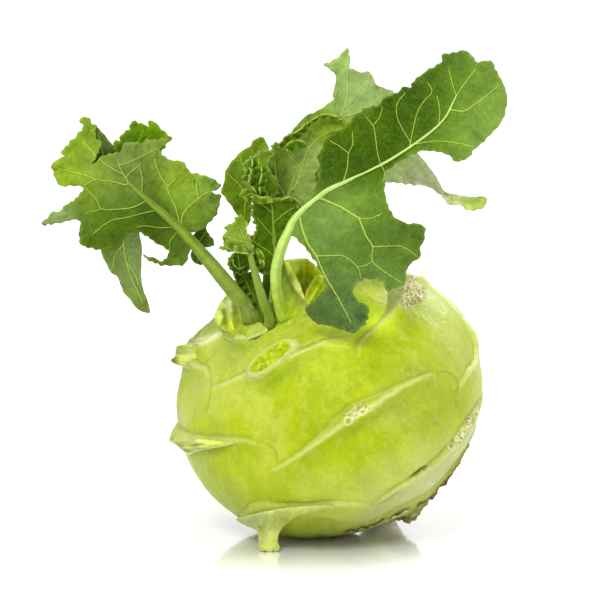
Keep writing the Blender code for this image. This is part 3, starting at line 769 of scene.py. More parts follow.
LEAVES = {
    "leaf_right": dict(
        slot="leaf_dark", foot=(1.6, -8.2, 2.3), stalk_low=(0.76, 0.90, 0.42), stalk_high=(0.84, 0.93, 0.56),
        slim=0.88, foot_colour=(0.74, 0.81, 0.16), foot_share=0.2,
        stalk=(
            (-9.2, 69, -16.4, 2.0), (-10, 77, -19.4, 1.9), (-8.5, 84, -21.6, 1.8),
            (-6.4, 89, -22.8, 1.6), (-3.8, 93.9, -23.6, 1.2), (4.5, 101, -24, 0.9),
            (10.5, 104, -23.5, 0.7), (21, 109, -22, 0.55), (30.5, 115, -20, 0.45),
            (39, 122, -17.5, 0.38), (43.5, 130, -15, 0.3), (48.5, 137, -13, 0.2),
        ),
        sheets=(dict(
            outline=(
                (-0.5, 98.5), (1.5, 101.5), (3, 106), (3.2, 111), (4.5, 115.5), (7, 118.5), (10, 119.7),
                (12, 121.5), (15.5, 125), (20, 126.5), (22.5, 128.8), (25.5, 130), (28, 132), (30, 131.8),
                (30.5, 133.5), (33.5, 136), (37, 138), (39, 139.5), (39.5, 141.5), (44, 142.2),
                (46.5, 142.5),
                (48, 140.5), (50, 139), (53, 139.8), (54.5, 137.5), (56.5, 134), (58, 129.5), (57.5, 124.5),
                (55.8, 121), (52.5, 117.5), (50, 115), (48, 113.8), (47.2, 111.5), (43, 110),
                (41, 112), (37, 113), (32.5, 113), (28, 111), (24, 108.6), (22.2, 107), (22, 104),
                (22.2, 99.5),
                (23.5, 95.5), (25.5, 93), (29, 91.7), (32.5, 91.5), (33.7, 90), (33.3, 86.5), (32.4, 84.5),
                (32.3, 82), (30, 80.5), (28.5, 78.2), (27.8, 74.2), (25, 73), (22.7, 72.3), (22, 74.2),
                (20, 75.4), (16.5, 75.6), (14, 74.7), (12.5, 72.5), (13.2, 70), (15.2, 68.2), (17.2, 67),
                (17, 64.5), (15.5, 61.8), (13, 60.3), (10.3, 60.4), (6, 61.8), (1.5, 63), (-0.2, 65),
                (-1, 67), (2, 69.5), (4.6, 72.5), (4.4, 75.5), (2.4, 79.5), (-0.6, 84), (-3.5, 87.3),
                (-6.5, 91),
            ),
            marks=(
                (4, 115, -20), (15.5, 125, -15), (28, 132, -11), (39.5, 141, -8), (54.5, 138, -8),
                (58, 128, -10), (47.5, 112, -16), (22, 103, -25), (33.5, 90, -26), (30, 80.5, -28),
                (25, 73, -30), (13, 72, -30), (16, 63, -32), (5, 62, -31), (-1, 67, -28),
                (4.5, 76, -28), (-2, 86, -25),
            ),
            veins=(
                ((-3, 94.8), (-2.2, 90.5), (-0.5, 86), (1.9, 82.3), (4.6, 76.2), (8, 70.5), (10.4, 66),
                 (12, 63)),
                ((3.2, 99.2), (9, 96.7), (14.4, 93.5), (17.8, 93.3), (21, 94.6)),
                ((14.4, 93.5), (16.6, 88), (18.5, 85), (18.4, 80.7), (22.8, 77), (27, 74.3)),
                ((18.5, 85), (22.5, 85.1), (27, 85), (31.5, 82.2)),
                ((1.9, 82.3), (5, 82.3), (10, 82.2), (14, 79), (15, 75.9)),
                ((18.4, 80.7), (16.5, 79.6), (14, 79)),
                ((9.8, 104), (11, 108), (11.4, 112.4), (12.6, 115), (12.5, 118.5)),
                ((11.4, 112.4), (8.5, 114.6), (6, 116)),
                ((20.8, 109.2), (19.8, 113), (19.2, 118), (18.6, 120.5), (16.6, 123)),
                ((18.6, 120.5), (20.5, 123), (21.4, 125.8)),
                ((29.4, 114.8), (30.5, 120), (31.5, 124), (33.4, 127.4), (36, 130.5), (35, 133)),
                ((29.6, 115.6), (27, 120), (25.5, 124), (26, 127.5), (28, 130)),
                ((38, 121.5), (38.2, 125.5), (37.5, 129)),
                ((43, 129.5), (42, 133), (41, 137)),
                ((41.8, 125.2), (45.5, 125), (49, 127.4), (52.5, 130), (55.5, 132.5)),
                ((30.5, 115), (36.5, 116), (43, 115.6), (48, 114.4)),
                ((21, 109), (22, 106.5), (21.5, 104)),
            ),
            # Painted light on this blade: shade on the upper half, lighter lit greens towards the tip, and
            # reflection on the bluish hanging half
            paint=(
                (1, 102, SHADED_DEEP_GREEN), (4.5, 104.5, SHADED_DEEP_GREEN), (8.5, 106.5, SHADED_DEEP_GREEN), (13.5, 108.5, SHADED_DEEP_GREEN),
                (8, 113, FRESH), (14, 110, SHADED_DEEP_GREEN), (14, 118, FRESH), (20, 120, FRESH),
                (26, 119, SHADED_DEEP_GREEN), (27, 125, (0.18, 0.32, 0.01)), (33, 123, SHADED_DEEP_GREEN),
                (36, 131, (0.24, 0.38, 0.03)), (42, 135, (0.35, 0.48, 0.16)),
                (47, 128, (0.42, 0.57, 0.19)), (52, 133, (0.45, 0.59, 0.20)), (54, 126, GLOW),
                (48, 119, GLOW), (42, 119, LIT), (34, 115, LIT), (5, 97, (0.80, 0.94, 0.52)),
                (12, 99, (0.60, 0.75, 0.32)),
                (18, 98, (0.42, 0.56, 0.17)), (2, 90, (0.43, 0.58, 0.22)), (8, 90, MISTY_BLOOM_REFLECTION),
                (14, 88, (0.33, 0.47, 0.14)), (22, 88, (0.33, 0.46, 0.18)), (28, 86, (0.35, 0.48, 0.16)),
                (8, 80, (0.38, 0.52, 0.22)), (20, 77, MISTY_BLOOM_REFLECTION), (25, 80, (0.37, 0.51, 0.18)), (8, 68, BLUISH_BLOOM_REFLECTION),
                (3, 66, (0.31, 0.43, 0.18)), (12, 64, BLUISH_BLOOM_REFLECTION),
            ),
            other=SAGE, teeth=0.7, tooth_step=3.4, ruffle=0.9, midrib_from=3,
        ),),
    ),
    "leaf_left": dict(
        slot="leaf_under", foot=(-8.6, -2.7, 2.4), stalk_low=(0.65, 0.73, 0.34),
        stalk_high=(0.54, 0.63, 0.22),
        slim=1.05,
        stalk=(
            (-18, 66.5, -9, 2.3), (-21, 70, -10.8, 2.2), (-25.5, 75.5, -14, 2.1),
            (-30, 81, -17, 1.9), (-38.5, 90.5, -22, 1.4), (-48, 99, -25.5, 0.85),
            (-52, 102.5, -27, 0.6), (-54, 105, -27.5, 0.45), (-55.6, 108, -28, 0.35),
            (-56.3, 110, -28.2, 0.25),
        ),
        sheets=(dict(
            front_is_top=False,
            outline=(
                (-36.5, 88.5), (-34, 89.6), (-31.5, 90.2), (-30.2, 91.7), (-28, 94), (-27, 96.8),
                (-26.5, 100),
                (-28.3, 100.7), (-29.3, 101.3), (-27.5, 101.8), (-26.4, 103), (-28, 104.6), (-30, 105.6),
                (-33, 106.2), (-35, 106.6), (-36.5, 108.4), (-37.5, 110), (-39.5, 110), (-41.5, 110.7),
                (-43, 111.6), (-44.5, 113.2), (-42, 115.5), (-41, 117), (-45, 116.3), (-47.5, 116),
                (-49.5, 115),
                (-52, 115.4), (-54, 115.2), (-55, 113.2), (-56.5, 112.4), (-59.5, 111.5), (-61.8, 110.2),
                (-64, 108.6), (-61.8, 113), (-61.2, 115.2), (-62.8, 117), (-62.6, 120), (-64.3, 121.3),
                (-64.6, 122.5), (-67.2, 122.1), (-66, 120.5), (-66.2, 119), (-67.6, 118.2), (-67.8, 117),
                (-69.8, 115.8), (-70.2, 114.8), (-72.2, 113), (-72.3, 112), (-71.5, 111), (-74, 110),
                (-75.2, 108.3), (-74.8, 106.3), (-73.5, 103.3), (-72, 102.7), (-69, 102.8), (-66, 102.4),
                (-67.2, 100.2), (-68.6, 98.6), (-72, 96.6), (-72.2, 95.6), (-75.6, 94.5), (-76.4, 93),
                (-78.2, 92), (-77.6, 91.4), (-72.5, 92.1), (-68, 93), (-67, 91.5), (-67.5, 89.7),
                (-67.2, 85.8),
                (-65.2, 85), (-61.4, 84.3), (-57, 85), (-55.4, 86.2), (-54, 88.2), (-52.2, 89.7),
                (-50.4, 89.5),
                (-47.6, 88),
                (-44.6, 86), (-41.5, 83.9), (-41.9, 82), (-43.4, 80.6), (-46.6, 81.6), (-48.9, 82.6),
                (-48.6, 81.9),
                (-46.6, 80.8), (-44, 79.9), (-41.5, 79.8), (-37.4, 79.8), (-36.2, 81.6), (-35.4, 84.3),
                (-35, 86),
            ),
            marks=(
                (-28, 94, -15), (-27, 102, -13), (-36.5, 108, -17), (-44, 114, -21), (-51, 114, -27),
                (-66, 120, -30), (-75, 107, -33), (-78, 92, -34), (-67, 86, -29), (-60, 96, -29),
                (-55, 87, -25.5), (-46, 84, -20), (-37, 80, -17), (-62, 110, -31),
            ),
            veins=(
                ((-38, 90.5), (-37.6, 94), (-36, 96.5), (-32.6, 99.5), (-30, 101.3)),
                ((-38.3, 91.5), (-39.6, 96.5), (-41.6, 101), (-41.8, 102.6), (-40, 104.5)),
                ((-41.8, 102.6), (-43.6, 105.2), (-45, 108), (-45.8, 110.8)),
                ((-49.5, 100.5), (-49.2, 104.4), (-50, 108.4)),
                ((-33, 99.2), (-33.6, 103.5)),
                ((-54, 103), (-57.5, 104), (-62, 104.6), (-65.5, 105.8), (-69.5, 106.8), (-73.5, 107.8)),
                ((-63, 104.7), (-66, 102.9)),
                ((-48, 98.5), (-52, 96.6), (-56.5, 96), (-61, 96.1), (-62.5, 98.7), (-65.5, 102.2)),
                ((-61, 96.1), (-63.6, 95.3)),
                ((-45, 95.8), (-49.5, 94.8), (-54, 93.6), (-57.5, 93), (-60.5, 91.4), (-63.5, 88.9)),
                ((-39.5, 91), (-43.6, 90.7), (-48, 91.2), (-50.6, 91)),
                ((-39, 89.5), (-41, 87), (-41.4, 84)),
                ((-54, 105.2), (-52.4, 107), (-50, 109)),
                ((-56, 108.8), (-52.5, 110), (-49, 111.7), (-45.5, 113.5)),
                ((-54.5, 106), (-59, 108.5), (-63, 112), (-66, 115.5)),
            ),
            # The darkest greens near the midrib are painted shade where the blade folds along it
            paint=(
                (-70, 105, (0.57, 0.69, 0.17)), (-63, 107, (0.64, 0.76, 0.24)),
                (-66, 114, (0.56, 0.70, 0.18)),
                (-58, 100, (0.45, 0.56, 0.22)), (-52, 97, (0.44, 0.55, 0.24)), (-66, 98, (0.45, 0.56, 0.16)),
                (-73, 94, (0.58, 0.67, 0.42)), (-62, 91, (0.35, 0.48, 0.11)), (-57, 88, (0.37, 0.49, 0.09)),
                (-48, 92, (0.22, 0.34, 0.04)), (-47.5, 95.5, (0.20, 0.33, 0.03)),
                (-53, 93.6, (0.26, 0.38, 0.05)),
                (-57, 91.8, (0.29, 0.41, 0.06)), (-43.5, 90.5, (0.24, 0.37, 0.05)),
                (-41, 87, (0.36, 0.47, 0.10)), (-37, 83, (0.42, 0.53, 0.20)),
                (-50, 106, (0.36, 0.47, 0.20)), (-46, 103, (0.46, 0.57, 0.20)), (-42, 106, LIME),
                (-38, 104, LIME),
                (-34, 102, (0.57, 0.70, 0.20)), (-36, 97, (0.51, 0.64, 0.17)), (-31, 97, (0.52, 0.64, 0.24)),
                (-32, 93, (0.46, 0.58, 0.18)), (-63, 86, (0.36, 0.47, 0.09)), (-28, 103, (0.46, 0.59, 0.26)),
                (-52, 113, (0.54, 0.64, 0.33)), (-46, 114.5, (0.55, 0.66, 0.24)),
                (-60, 110, (0.50, 0.60, 0.28)),
                (-54, 89, (0.30, 0.43, 0.08)),
            ),
            other=(0.26, 0.40, 0.05), teeth=0.8, tooth_step=2.6, ruffle=1.0, reach=5.0, midrib_from=4,
        ), dict(
            front_is_top=False, alone=True,
            outline=(
                (-61.6, 86.5), (-61, 82.5), (-59.5, 79.5), (-58.4, 77.4), (-56.4, 75.8), (-55, 72),
                (-52.9, 69.4),
                (-50.6, 66.6), (-47.6, 65.5), (-47.4, 67.2), (-48, 69.5), (-49.1, 72.5), (-49.7, 75.5),
                (-49.7, 79.5), (-49.4, 84), (-50, 88), (-50.8, 90.5), (-55, 90.5), (-59, 89),
            ),
            midrib=((-55, 89), (-54.5, 83), (-53, 77), (-49.5, 69)),
            veins=(((-54.8, 86), (-57.5, 82), (-57.8, 79)), ((-54, 80.5), (-51.5, 77), (-50.5, 74))),
            marks=((-60.5, 86, -25.6), (-51, 88, -22.6), (-58.5, 78, -21), (-49, 66.5, -17),
                   (-54.5, 80, -21.5)),
            # Painted light: this hanging lobe is paler because it faces the light differently from the blade
            # above it
            paint=(
                (-56, 86, (0.44, 0.55, 0.26)), (-56, 80, (0.47, 0.57, 0.28)), (-52, 76, (0.54, 0.63, 0.36)),
                (-50, 70, (0.48, 0.57, 0.27)), (-52, 85, (0.50, 0.59, 0.34)),
            ),
            other=(0.26, 0.40, 0.05), teeth=0.25, tooth_step=5.0, ruffle=0.5, roll=0.5, reach=4.0,
            vein_spacing=2.8,
        ), dict(
            alone=True,
            outline=((-34.6, 84.4), (-34.8, 87), (-33.2, 89.8), (-31, 90.8), (-30, 89), (-28.6, 87.2),
                     (-28.4, 85.4),
                     (-30.8, 84.9), (-32.6, 84)),
            midrib=((-34, 85), (-32, 87.5), (-30.5, 89.5)),
            marks=((-34.6, 85, -17.2), (-31, 90.8, -15), (-28.4, 86, -14.8), (-32, 86, -15.2)),
            paint=((-32, 87, (0.16, 0.31, 0.10)), (-29.5, 86.5, (0.30, 0.45, 0.14))),
            other=UNDER, teeth=0.5, tooth_step=2.0, ruffle=0.8, wave=3.5, ruffle_reach=2.0, reach=2.5,
        ), dict(
            alone=True,
            outline=((-34, 84.6), (-35, 83), (-34.6, 81), (-32.6, 79.8), (-31.4, 80.4), (-32, 82.6),
                     (-32.6, 84)),
            midrib=((-33.8, 84), (-33, 81)),
            marks=((-34, 84.6, -16.8), (-34.8, 81, -16), (-31.4, 80.4, -14.6)),
            paint=((-33, 82, (0.24, 0.38, 0.08)),),
            other=UNDER, teeth=0.3, tooth_step=2.0, ruffle=0.5, wave=3.5, ruffle_reach=2.0, reach=2.5,
        ), dict(
            front_is_top=True, alone=True,
            outline=(
                (-58, 109.5), (-57, 113.5), (-57.2, 115.4), (-55.6, 116), (-55.4, 117.2), (-54, 118.4),
                (-52.6, 119.4),
                (-52, 121.4), (-50, 121), (-48.4, 120.6), (-47.1, 119.9), (-46.9, 121.6), (-45.2, 121.5),
                (-44, 119.8), (-42.8, 118.5), (-41.2, 117), (-42.4, 115.4), (-44.5, 112), (-50, 109.5),
            ),
            midrib=((-53, 110), (-51, 114), (-49, 119)),
            veins=(((-51.5, 113), (-54, 116)), ((-51, 114), (-47, 117.5))),
            marks=((-58, 109.5, -26.2), (-57, 115, -26.5), (-52, 121, -23.5), (-45, 121, -20),
                   (-41, 117, -18.5),
                   (-44.5, 112, -19.5), (-50, 109.5, -23), (-49, 116, -21)),
            paint=((-51, 117, (0.36, 0.56, 0.01)), (-47, 118, (0.44, 0.62, 0.02)),
                   (-55, 114, (0.38, 0.55, 0.03))),
            other=UNDER, teeth=1.0, tooth_step=2.2, ruffle=0.9, wave=6.0, ruffle_reach=3.0, reach=5.0,
        ), dict(
            front_is_top=True, alone=True,
            outline=(
                (-65, 107), (-64.6, 113), (-62.6, 119.6), (-61.4, 118.9), (-59.4, 116.6), (-57.4, 114.2),
                (-56.4, 112.5), (-58, 108.5),
            ),
            midrib=((-60, 109), (-61, 114), (-62, 118)),
            marks=((-65, 107, -28.4), (-64.6, 113, -28.0), (-62.6, 119.6, -27.5), (-57.4, 114.2, -26.5),
                   (-56.4, 112.5, -26.3), (-58, 108.5, -26.8)),
            paint=((-60, 112, (0.30, 0.42, 0.18)), (-62, 116, (0.35, 0.46, 0.20)),
                   (-58, 113, (0.26, 0.40, 0.14))),
            other=UNDER, teeth=0.4, ruffle=0.4, reach=4.0,
        )),
    ),
    "leaf_back_right": dict(
        slot="leaf_pale", foot=(-0.5, 1.5, 1.5), stalk_low=(0.42, 0.52, 0.10), stalk_high=(0.74, 0.82, 0.46),
        # depth 1.0 brightens this leaf more than the others, as painted light shining through it from behind
        depth=1.0,
        stalk=(
            (-9, 75, -4, 1.4), (-8.5, 85, -1, 1.3), (-6, 97, 3, 1.2), (-0.5, 110, 8, 0.9),
            (7, 119.5, 12, 0.7), (11, 129.5, 15, 0.5), (11, 138, 17, 0.3),
        ),
        sheets=(dict(
            front_is_top=False,
            outline=(
                (-8.5, 89.5), (-9.5, 98.5), (-9.2, 107), (-7.5, 115), (-4.5, 120.5), (-1, 124), (2, 125.5),
                (4.5, 127), (7.4, 129.3), (7, 130.6), (8, 135.5), (6.6, 137.9), (4.4, 139.4), (7, 140.5),
                (10, 143), (11.2, 144.6), (11.7, 141.5), (11.9, 138.6), (13.2, 137.9), (16, 137.1),
                (17.6, 137.4),
                (19, 135.4), (20, 133.4), (22.5, 132.4), (25, 131.3), (27, 128), (28, 123), (30.3, 115),
                (32.5, 112.3), (35, 109.5), (37.6, 105.6), (40, 101.6), (44.4, 100.4), (48.6, 99.9),
                (52, 99.8),
                (52.6, 98.5), (51, 96.6), (47.2, 95.9), (45.2, 97.4), (41.2, 97.9), (39.5, 99.8), (35, 103),
                (28, 104), (22.5, 104.4), (15.5, 103.4), (5, 98.5), (-2.5, 89.5),
            ),
            marks=(
                (-9.5, 99, 1), (-4.5, 120, 9), (5, 139, 17), (17, 137, 19), (27, 128, 14),
                (22, 106, 3), (37, 104, -1), (45, 99, -3), (52, 98, -2), (8, 98, 1),
            ),
            veins=(
                ((7, 119.5), (15, 117), (22, 109.5), (28, 106.5), (35.5, 103.6), (39.5, 101.2), (45, 99),
                 (51.5, 98)),
                ((9.5, 126), (13, 129), (16, 134)),
                ((10, 124), (16, 126), (22, 130.5)),
                ((4, 116), (1, 120.5), (-2, 122)),
                ((8, 121), (7, 126), (8, 132)),
                ((28, 106.5), (31, 109), (33, 110.5)),
            ),
            # The near-white marks on the right arm are painted light shining through the leaf from behind
            paint=(
                (8, 138, (0.70, 0.81, 0.44)), (12, 135, (0.70, 0.79, 0.50)), (16, 132, (0.68, 0.77, 0.48)),
                (20, 128, (0.64, 0.74, 0.44)), (10, 127, (0.66, 0.75, 0.42)), (2, 122, (0.47, 0.61, 0.18)),
                (-3, 119, (0.55, 0.66, 0.27)), (28, 106, (1, 1, 0.84)), (34, 105.5, (1, 1, 0.86)),
                (40, 100.5, (1, 1, 0.80)), (48, 98, (0.80, 0.90, 0.40)), (26, 111, (0.66, 0.78, 0.36)),
                (0, 105, (0.52, 0.63, 0.28)),
            ),
            other=(0.34, 0.48, 0.14), rim=0.15, teeth=0.6, tooth_step=3.2, ruffle=1.2, quilt=0.4,
            midrib_from=2,
        ),),
    ),
    "leaf_back_left": dict(
        slot="leaf_under", foot=(-5.5, 2.0, 1.4), stalk_low=(0.42, 0.52, 0.12),
        stalk_high=(0.56, 0.66, 0.24),
        stalk=(
            (-12.8, 75, -2, 1.3), (-12.6, 88, 3, 1.1), (-14, 96, 6, 0.9), (-17, 103, 9, 0.6),
            (-18, 109, 12, 0.45),
            (-17, 114, 14, 0.3),
        ),
        sheets=(dict(
            front_is_top=False,
            outline=(
                (-13.5, 117.2), (-16.6, 117), (-17.8, 115.2), (-21, 113.2), (-22.3, 111.4), (-24, 109.6),
                (-25.2, 107), (-25.3, 104.8), (-26.2, 101.5), (-24.2, 98.8), (-22, 95.4), (-20.3, 93.2),
                (-19, 91.6), (-17.8, 92.6), (-17.3, 97), (-17, 100.5), (-14, 101), (-11, 101), (-10.6, 108),
            ),
            marks=((-14, 117, 13), (-25, 107, 8), (-26, 101.5, 6), (-12, 96, 6), (-11.5, 108, 9)),
            veins=(
                ((-17, 103), (-19, 99), (-19.4, 94)),
                ((-18.4, 99), (-21, 103.5), (-24.2, 106.5)),
                ((-18.2, 105), (-20, 109.5), (-21, 112.5)),
            ),
            paint=(
                (-22, 108, (0.49, 0.63, 0.15)), (-18, 113, (0.47, 0.60, 0.12)),
                (-24, 103, (0.42, 0.56, 0.07)),
                (-19, 98, (0.43, 0.56, 0.08)), (-17, 105, (0.50, 0.63, 0.15)), (-18, 94, (0.38, 0.50, 0.07)),
            ),
            other=(0.30, 0.45, 0.05), teeth=0.35, tooth_step=3.6, ruffle=0.6, midrib_from=1,
        ),),
    ),
    "leaf_inner": dict(
        slot="leaf_under", foot=(2.6, -3.0, 1.4), stalk_low=(0.42, 0.52, 0.12),
        stalk_high=(0.64, 0.74, 0.34),
        frills=(
            dict(path=((-9.4, 113.4, -7.6), (-5.6, 116, -6.4), (-2, 118, -5.4), (0.4, 121.6, -4.6)),
                 width=2.6,
                 side=-1, colour=(0.38, 0.54, 0.06), curl=1.3, wave=2.9),
            dict(path=((-6.4, 112.4, -8.4), (-3.6, 114.4, -7.8), (-1.6, 114, -7.4)), width=3.0, side=-1,
                 colour=(0.36, 0.56, 0.02), curl=1.1, wave=2.4),
            dict(path=((0.4, 121.6, -4.6), (4.4, 123, -5), (9.6, 122, -7)), width=1.6, side=-1,
                 colour=(0.44, 0.58, 0.10), curl=0.8, wave=2.6),
            dict(path=((2.2, 103.4, -9), (2.6, 107.4, -9), (3.4, 111, -8.6)), width=1.5, side=1,
                 colour=(0.54, 0.66, 0.22), curl=0.7, wave=2.7),
        ),
        stalk=(
            (-7.2, 72, -9.2, 1.3), (-9.2, 79, -9, 1.2), (-9.8, 87, -8, 1.0), (-8.4, 95, -6.6, 0.9),
            (-6.5, 99.5, -5.5, 0.8),
            (-4, 107, -4, 0.55), (-1, 113, -3, 0.42), (1, 119, -2, 0.3),
        ),
        sheets=(dict(
            front_is_top=False,
            outline=(
                (-9, 93), (-10, 98), (-11.5, 101), (-14, 103), (-15, 106.5), (-14.4, 109.5), (-11.5, 111.5),
                (-11, 115), (-8.5, 115.7), (-5.5, 116.7), (-4, 118.2), (-1.2, 119.6), (-0.5, 121.7),
                (1.7, 123.4), (5, 124.1), (9, 123.4), (11.5, 121.9), (10, 119.9), (5, 117.5), (4.2, 114.5),
                (2.4, 111.5), (3, 108.5), (1.4, 106.5), (2, 104), (0.4, 99.5), (-0.5, 97), (-2.5, 94.5),
                (-5.5, 92),
            ),
            marks=((-14.5, 107, -8), (-11, 114, -6), (1.5, 123, -2), (11, 122, -6), (3, 108, -7),
                   (0, 97, -8)),
            veins=(
                ((-6.4, 100.5), (-3.8, 104), (-1.8, 110), (0, 114.6), (4.5, 118.4), (10, 120.2)),
                ((-7, 99.8), (-9.6, 104.4), (-10.6, 110.8)),
                ((-3, 109), (-6, 112), (-8, 115)),
            ),
            paint=(
                (-9, 110, (0.48, 0.58, 0.22)), (-4, 113, (0.58, 0.70, 0.30)), (-7, 104, (0.46, 0.56, 0.22)),
                (-2, 105, (0.62, 0.73, 0.36)), (0, 112, (0.68, 0.78, 0.42)), (-1, 99, (0.64, 0.75, 0.42)),
                (6, 122, (0.56, 0.69, 0.15)), (2, 120, (0.50, 0.61, 0.18)), (-12, 106, (0.34, 0.46, 0.12)),
                (-10, 100, (0.30, 0.42, 0.10)),
            ),
            other=(0.28, 0.42, 0.05), rim=0.6, teeth=0.9, tooth_step=1.7, ruffle=1.1, wave=4.5,
            ruffle_reach=2.5, reach=4.0, midrib_from=3,
        ),),
    ),
    "leaf_young_tall": dict(
        slot="leaf_dark", foot=(-1.8, -5.0, 1.3), stalk_low=(0.40, 0.52, 0.12),
        stalk_high=(0.60, 0.70, 0.26),
        frills=(
            dict(path=((-13.4, 101, -15.4), (-15.2, 104, -16.4), (-14.8, 107, -16.2),
                       (-16, 110.6, -15.6)), width=3.4,
                 side=-1, colour=(0.26, 0.42, 0.03), curl=1.5, wave=2.7),
            dict(path=((-11.6, 98, -15.0), (-13, 101.5, -15.8), (-12.4, 105, -15.6),
                       (-13.4, 109.4, -14.6)), width=2.6,
                 side=-1, colour=(0.32, 0.48, 0.05), curl=1.3, wave=2.3),
            dict(path=((-17.6, 99.6, -17.4), (-14.4, 97.6, -16.6), (-10.4, 98.2, -16.0)), width=2.6, side=-1,
                 colour=(0.50, 0.65, 0.10), curl=1.1, wave=3.1),
            dict(path=((-13.4, 77, -15), (-14.6, 80.5, -15.6), (-16, 84, -16), (-15.6, 88, -15.6)),
                 width=2.4,
                 side=-1, colour=(0.36, 0.50, 0.05), curl=1.0, wave=2.4),
            dict(path=((-8.6, 98, -14.6), (-5.4, 98.4, -15.4), (-3.8, 96, -15.6), (-5.6, 92.4, -15.2)),
                 width=1.6,
                 side=-1, colour=(0.38, 0.53, 0.05), curl=0.8, wave=2.6),
        ),
        stalk=(
            (-9.2, 69, -11.4, 1.1), (-9.8, 78, -12.2, 0.9), (-10.5, 86.5, -12.9, 0.7),
            (-11, 96, -13.5, 0.5), (-12.5, 102, -13.5, 0.4), (-14, 106, -13.2, 0.3),
        ),
        sheets=(dict(
            outline=(
                (-8.8, 74.5), (-11, 76.5), (-14, 78), (-15.5, 81), (-17.5, 84.5), (-17.2, 87.5), (-15.6, 90),
                (-16.4, 92.5), (-16.6, 98), (-13, 99), (-9, 99.6), (-5.5, 99.5), (-3.5, 98), (-3.5, 95.5),
                (-5.3, 92), (-7.3, 89), (-8.3, 85), (-7.8, 78.5),
            ),
            marks=((-16.5, 86, -15.5), (-16, 98, -15.5), (-4, 97, -15.2), (-8, 84, -14)),
            veins=(
                ((-10.6, 88), (-13, 90.5), (-15.5, 93.5)), ((-10.9, 92), (-8, 94.5), (-4.8, 96.5)),
                ((-10, 82), (-12.6, 84), (-15.8, 86)), ((-11, 95), (-13.5, 97), (-15.6, 98)),
            ),
            paint=(
                (-13, 92, (0.25, 0.39, 0.05)), (-13, 86, (0.31, 0.45, 0.02)), (-9, 97, (0.32, 0.47, 0.04)),
                (-6, 96, (0.28, 0.42, 0.06)), (-8, 90, (0.35, 0.50, 0.06)), (-12, 80, (0.36, 0.49, 0.05)),
            ),
            other=UNDER, rim=0.75, teeth=1.3, tooth_step=1.9, ruffle=0.9, wave=4.0, ruffle_reach=2.2,
            reach=4.0,
            vein_spacing=1.6, midrib_from=1,
        ), dict(
            alone=True,
            outline=(
                (-12.5, 98.5), (-16.5, 98), (-18.5, 98.6), (-20.3, 99.8), (-19.6, 101.6), (-16.6, 102.4),
                (-18.4, 103.2),
                (-19.6, 104.6), (-18.8, 106.6), (-19.2, 108.4), (-18.8, 110.2), (-16.6, 111.7),
                (-14.5, 112.8),
                (-12.6, 113.4), (-11.4, 112.6), (-12.2, 110), (-11.6, 107.5), (-10, 104), (-9.6, 101),
            ),
            midrib=((-12, 99), (-13.5, 103), (-15, 107), (-15, 111)),
            veins=(((-13, 101.5), (-16, 101), (-19, 100.2)), ((-14, 104.5), (-17, 105), (-19, 106.5))),
            marks=((-12.5, 98.5, -14.6), (-20.3, 99.8, -17), (-16.6, 102.4, -15.2), (-19.6, 105, -16.8),
                   (-19, 110, -15.6), (-12.6, 113.4, -13.5), (-9.6, 102, -13.6), (-12, 107, -14.4)),
            paint=(
                (-18, 100, (0.34, 0.49, 0.02)), (-14, 100, (0.26, 0.42, 0.02)),
                (-14, 104, (0.33, 0.48, 0.09)),
                (-16, 106, (0.37, 0.51, 0.03)), (-14, 110, (0.40, 0.51, 0.12)),
                (-18, 108, (0.38, 0.52, 0.08)),
            ),
            other=UNDER, rim=0.75, rim_colour=(0.72, 0.82, 0.40), teeth=1.5, tooth_step=1.4, ruffle=1.3,
            wave=3.0,
            ruffle_reach=2.4, quilt=0.3, reach=3.0, vein_spacing=1.5,
        )),
    ),
    "leaf_young_front": dict(
        slot="leaf_young", foot=(-3.0, -9.7, 1.4), stalk_low=(0.52, 0.62, 0.18),
        stalk_high=(0.60, 0.71, 0.30),
        slim=1.2,
        frills=(
            dict(path=((-16.6, 84, -19), (-20, 85, -20), (-23, 86, -20.5), (-25.4, 88, -20)), width=2.6,
                 side=-1,
                 colour=(0.52, 0.64, 0.20), curl=0.9, wave=2.6),
            dict(path=((-14.6, 78.6, -18.6), (-15.2, 81.5, -19), (-16.2, 84.5, -19)), width=2.4, side=1,
                 colour=(0.46, 0.58, 0.14), curl=0.8, wave=2.4),
        ),
        stalk=(
            (-12.0, 64.5, -16.6, 1.3), (-13.5, 68.5, -17.6, 1.2), (-15.5, 75, -18, 1.0),
            (-17, 80.5, -18.5, 0.8), (-18.5, 86, -18.5, 0.5), (-20.5, 90.5, -18.5, 0.3),
        ),
        sheets=(dict(
            outline=(
                (-16.8, 83.4), (-17.4, 86.5), (-18, 88.5), (-18.8, 90), (-17.8, 91.8), (-19, 92.6),
                (-20, 94),
                (-21.6, 93.6), (-22.2, 92), (-24.6, 91), (-24, 89.4), (-25.6, 88.5), (-24.7, 87.3),
                (-24.6, 85.6),
                (-26.6, 84.5), (-22.5, 83.8), (-19, 84.2),
            ),
            marks=((-25.5, 86, -20.5), (-22, 93.5, -19), (-17, 89, -19.5)),
            veins=(((-18.6, 86.4), (-21.5, 87), (-24.5, 88)), ((-19, 87.4), (-18.3, 89.5), (-18.5, 91.5))),
            paint=(
                (-22, 89, (0.58, 0.69, 0.25)), (-20, 91, (0.48, 0.59, 0.15)), (-19, 86, (0.54, 0.67, 0.27)),
                (-24, 86, (0.56, 0.67, 0.17)),
            ),
            other=UNDER, rim=0.5, teeth=1.1, tooth_step=1.7, ruffle=0.8, wave=4.0, ruffle_reach=2.0,
            reach=3.0,
            vein_spacing=1.6, midrib_from=3,
        ),),
    ),
    "leaf_young_tuft": dict(
        slot="leaf_young", foot=(-5.0, -5.0, 1.0), stalk_low=(0.36, 0.46, 0.10),
        stalk_high=(0.46, 0.58, 0.16),
        frills=(
            dict(path=((-14.6, 67, -9.6), (-17.4, 71, -9), (-19.6, 75, -8.6), (-21.6, 78.6, -9)), width=3.2,
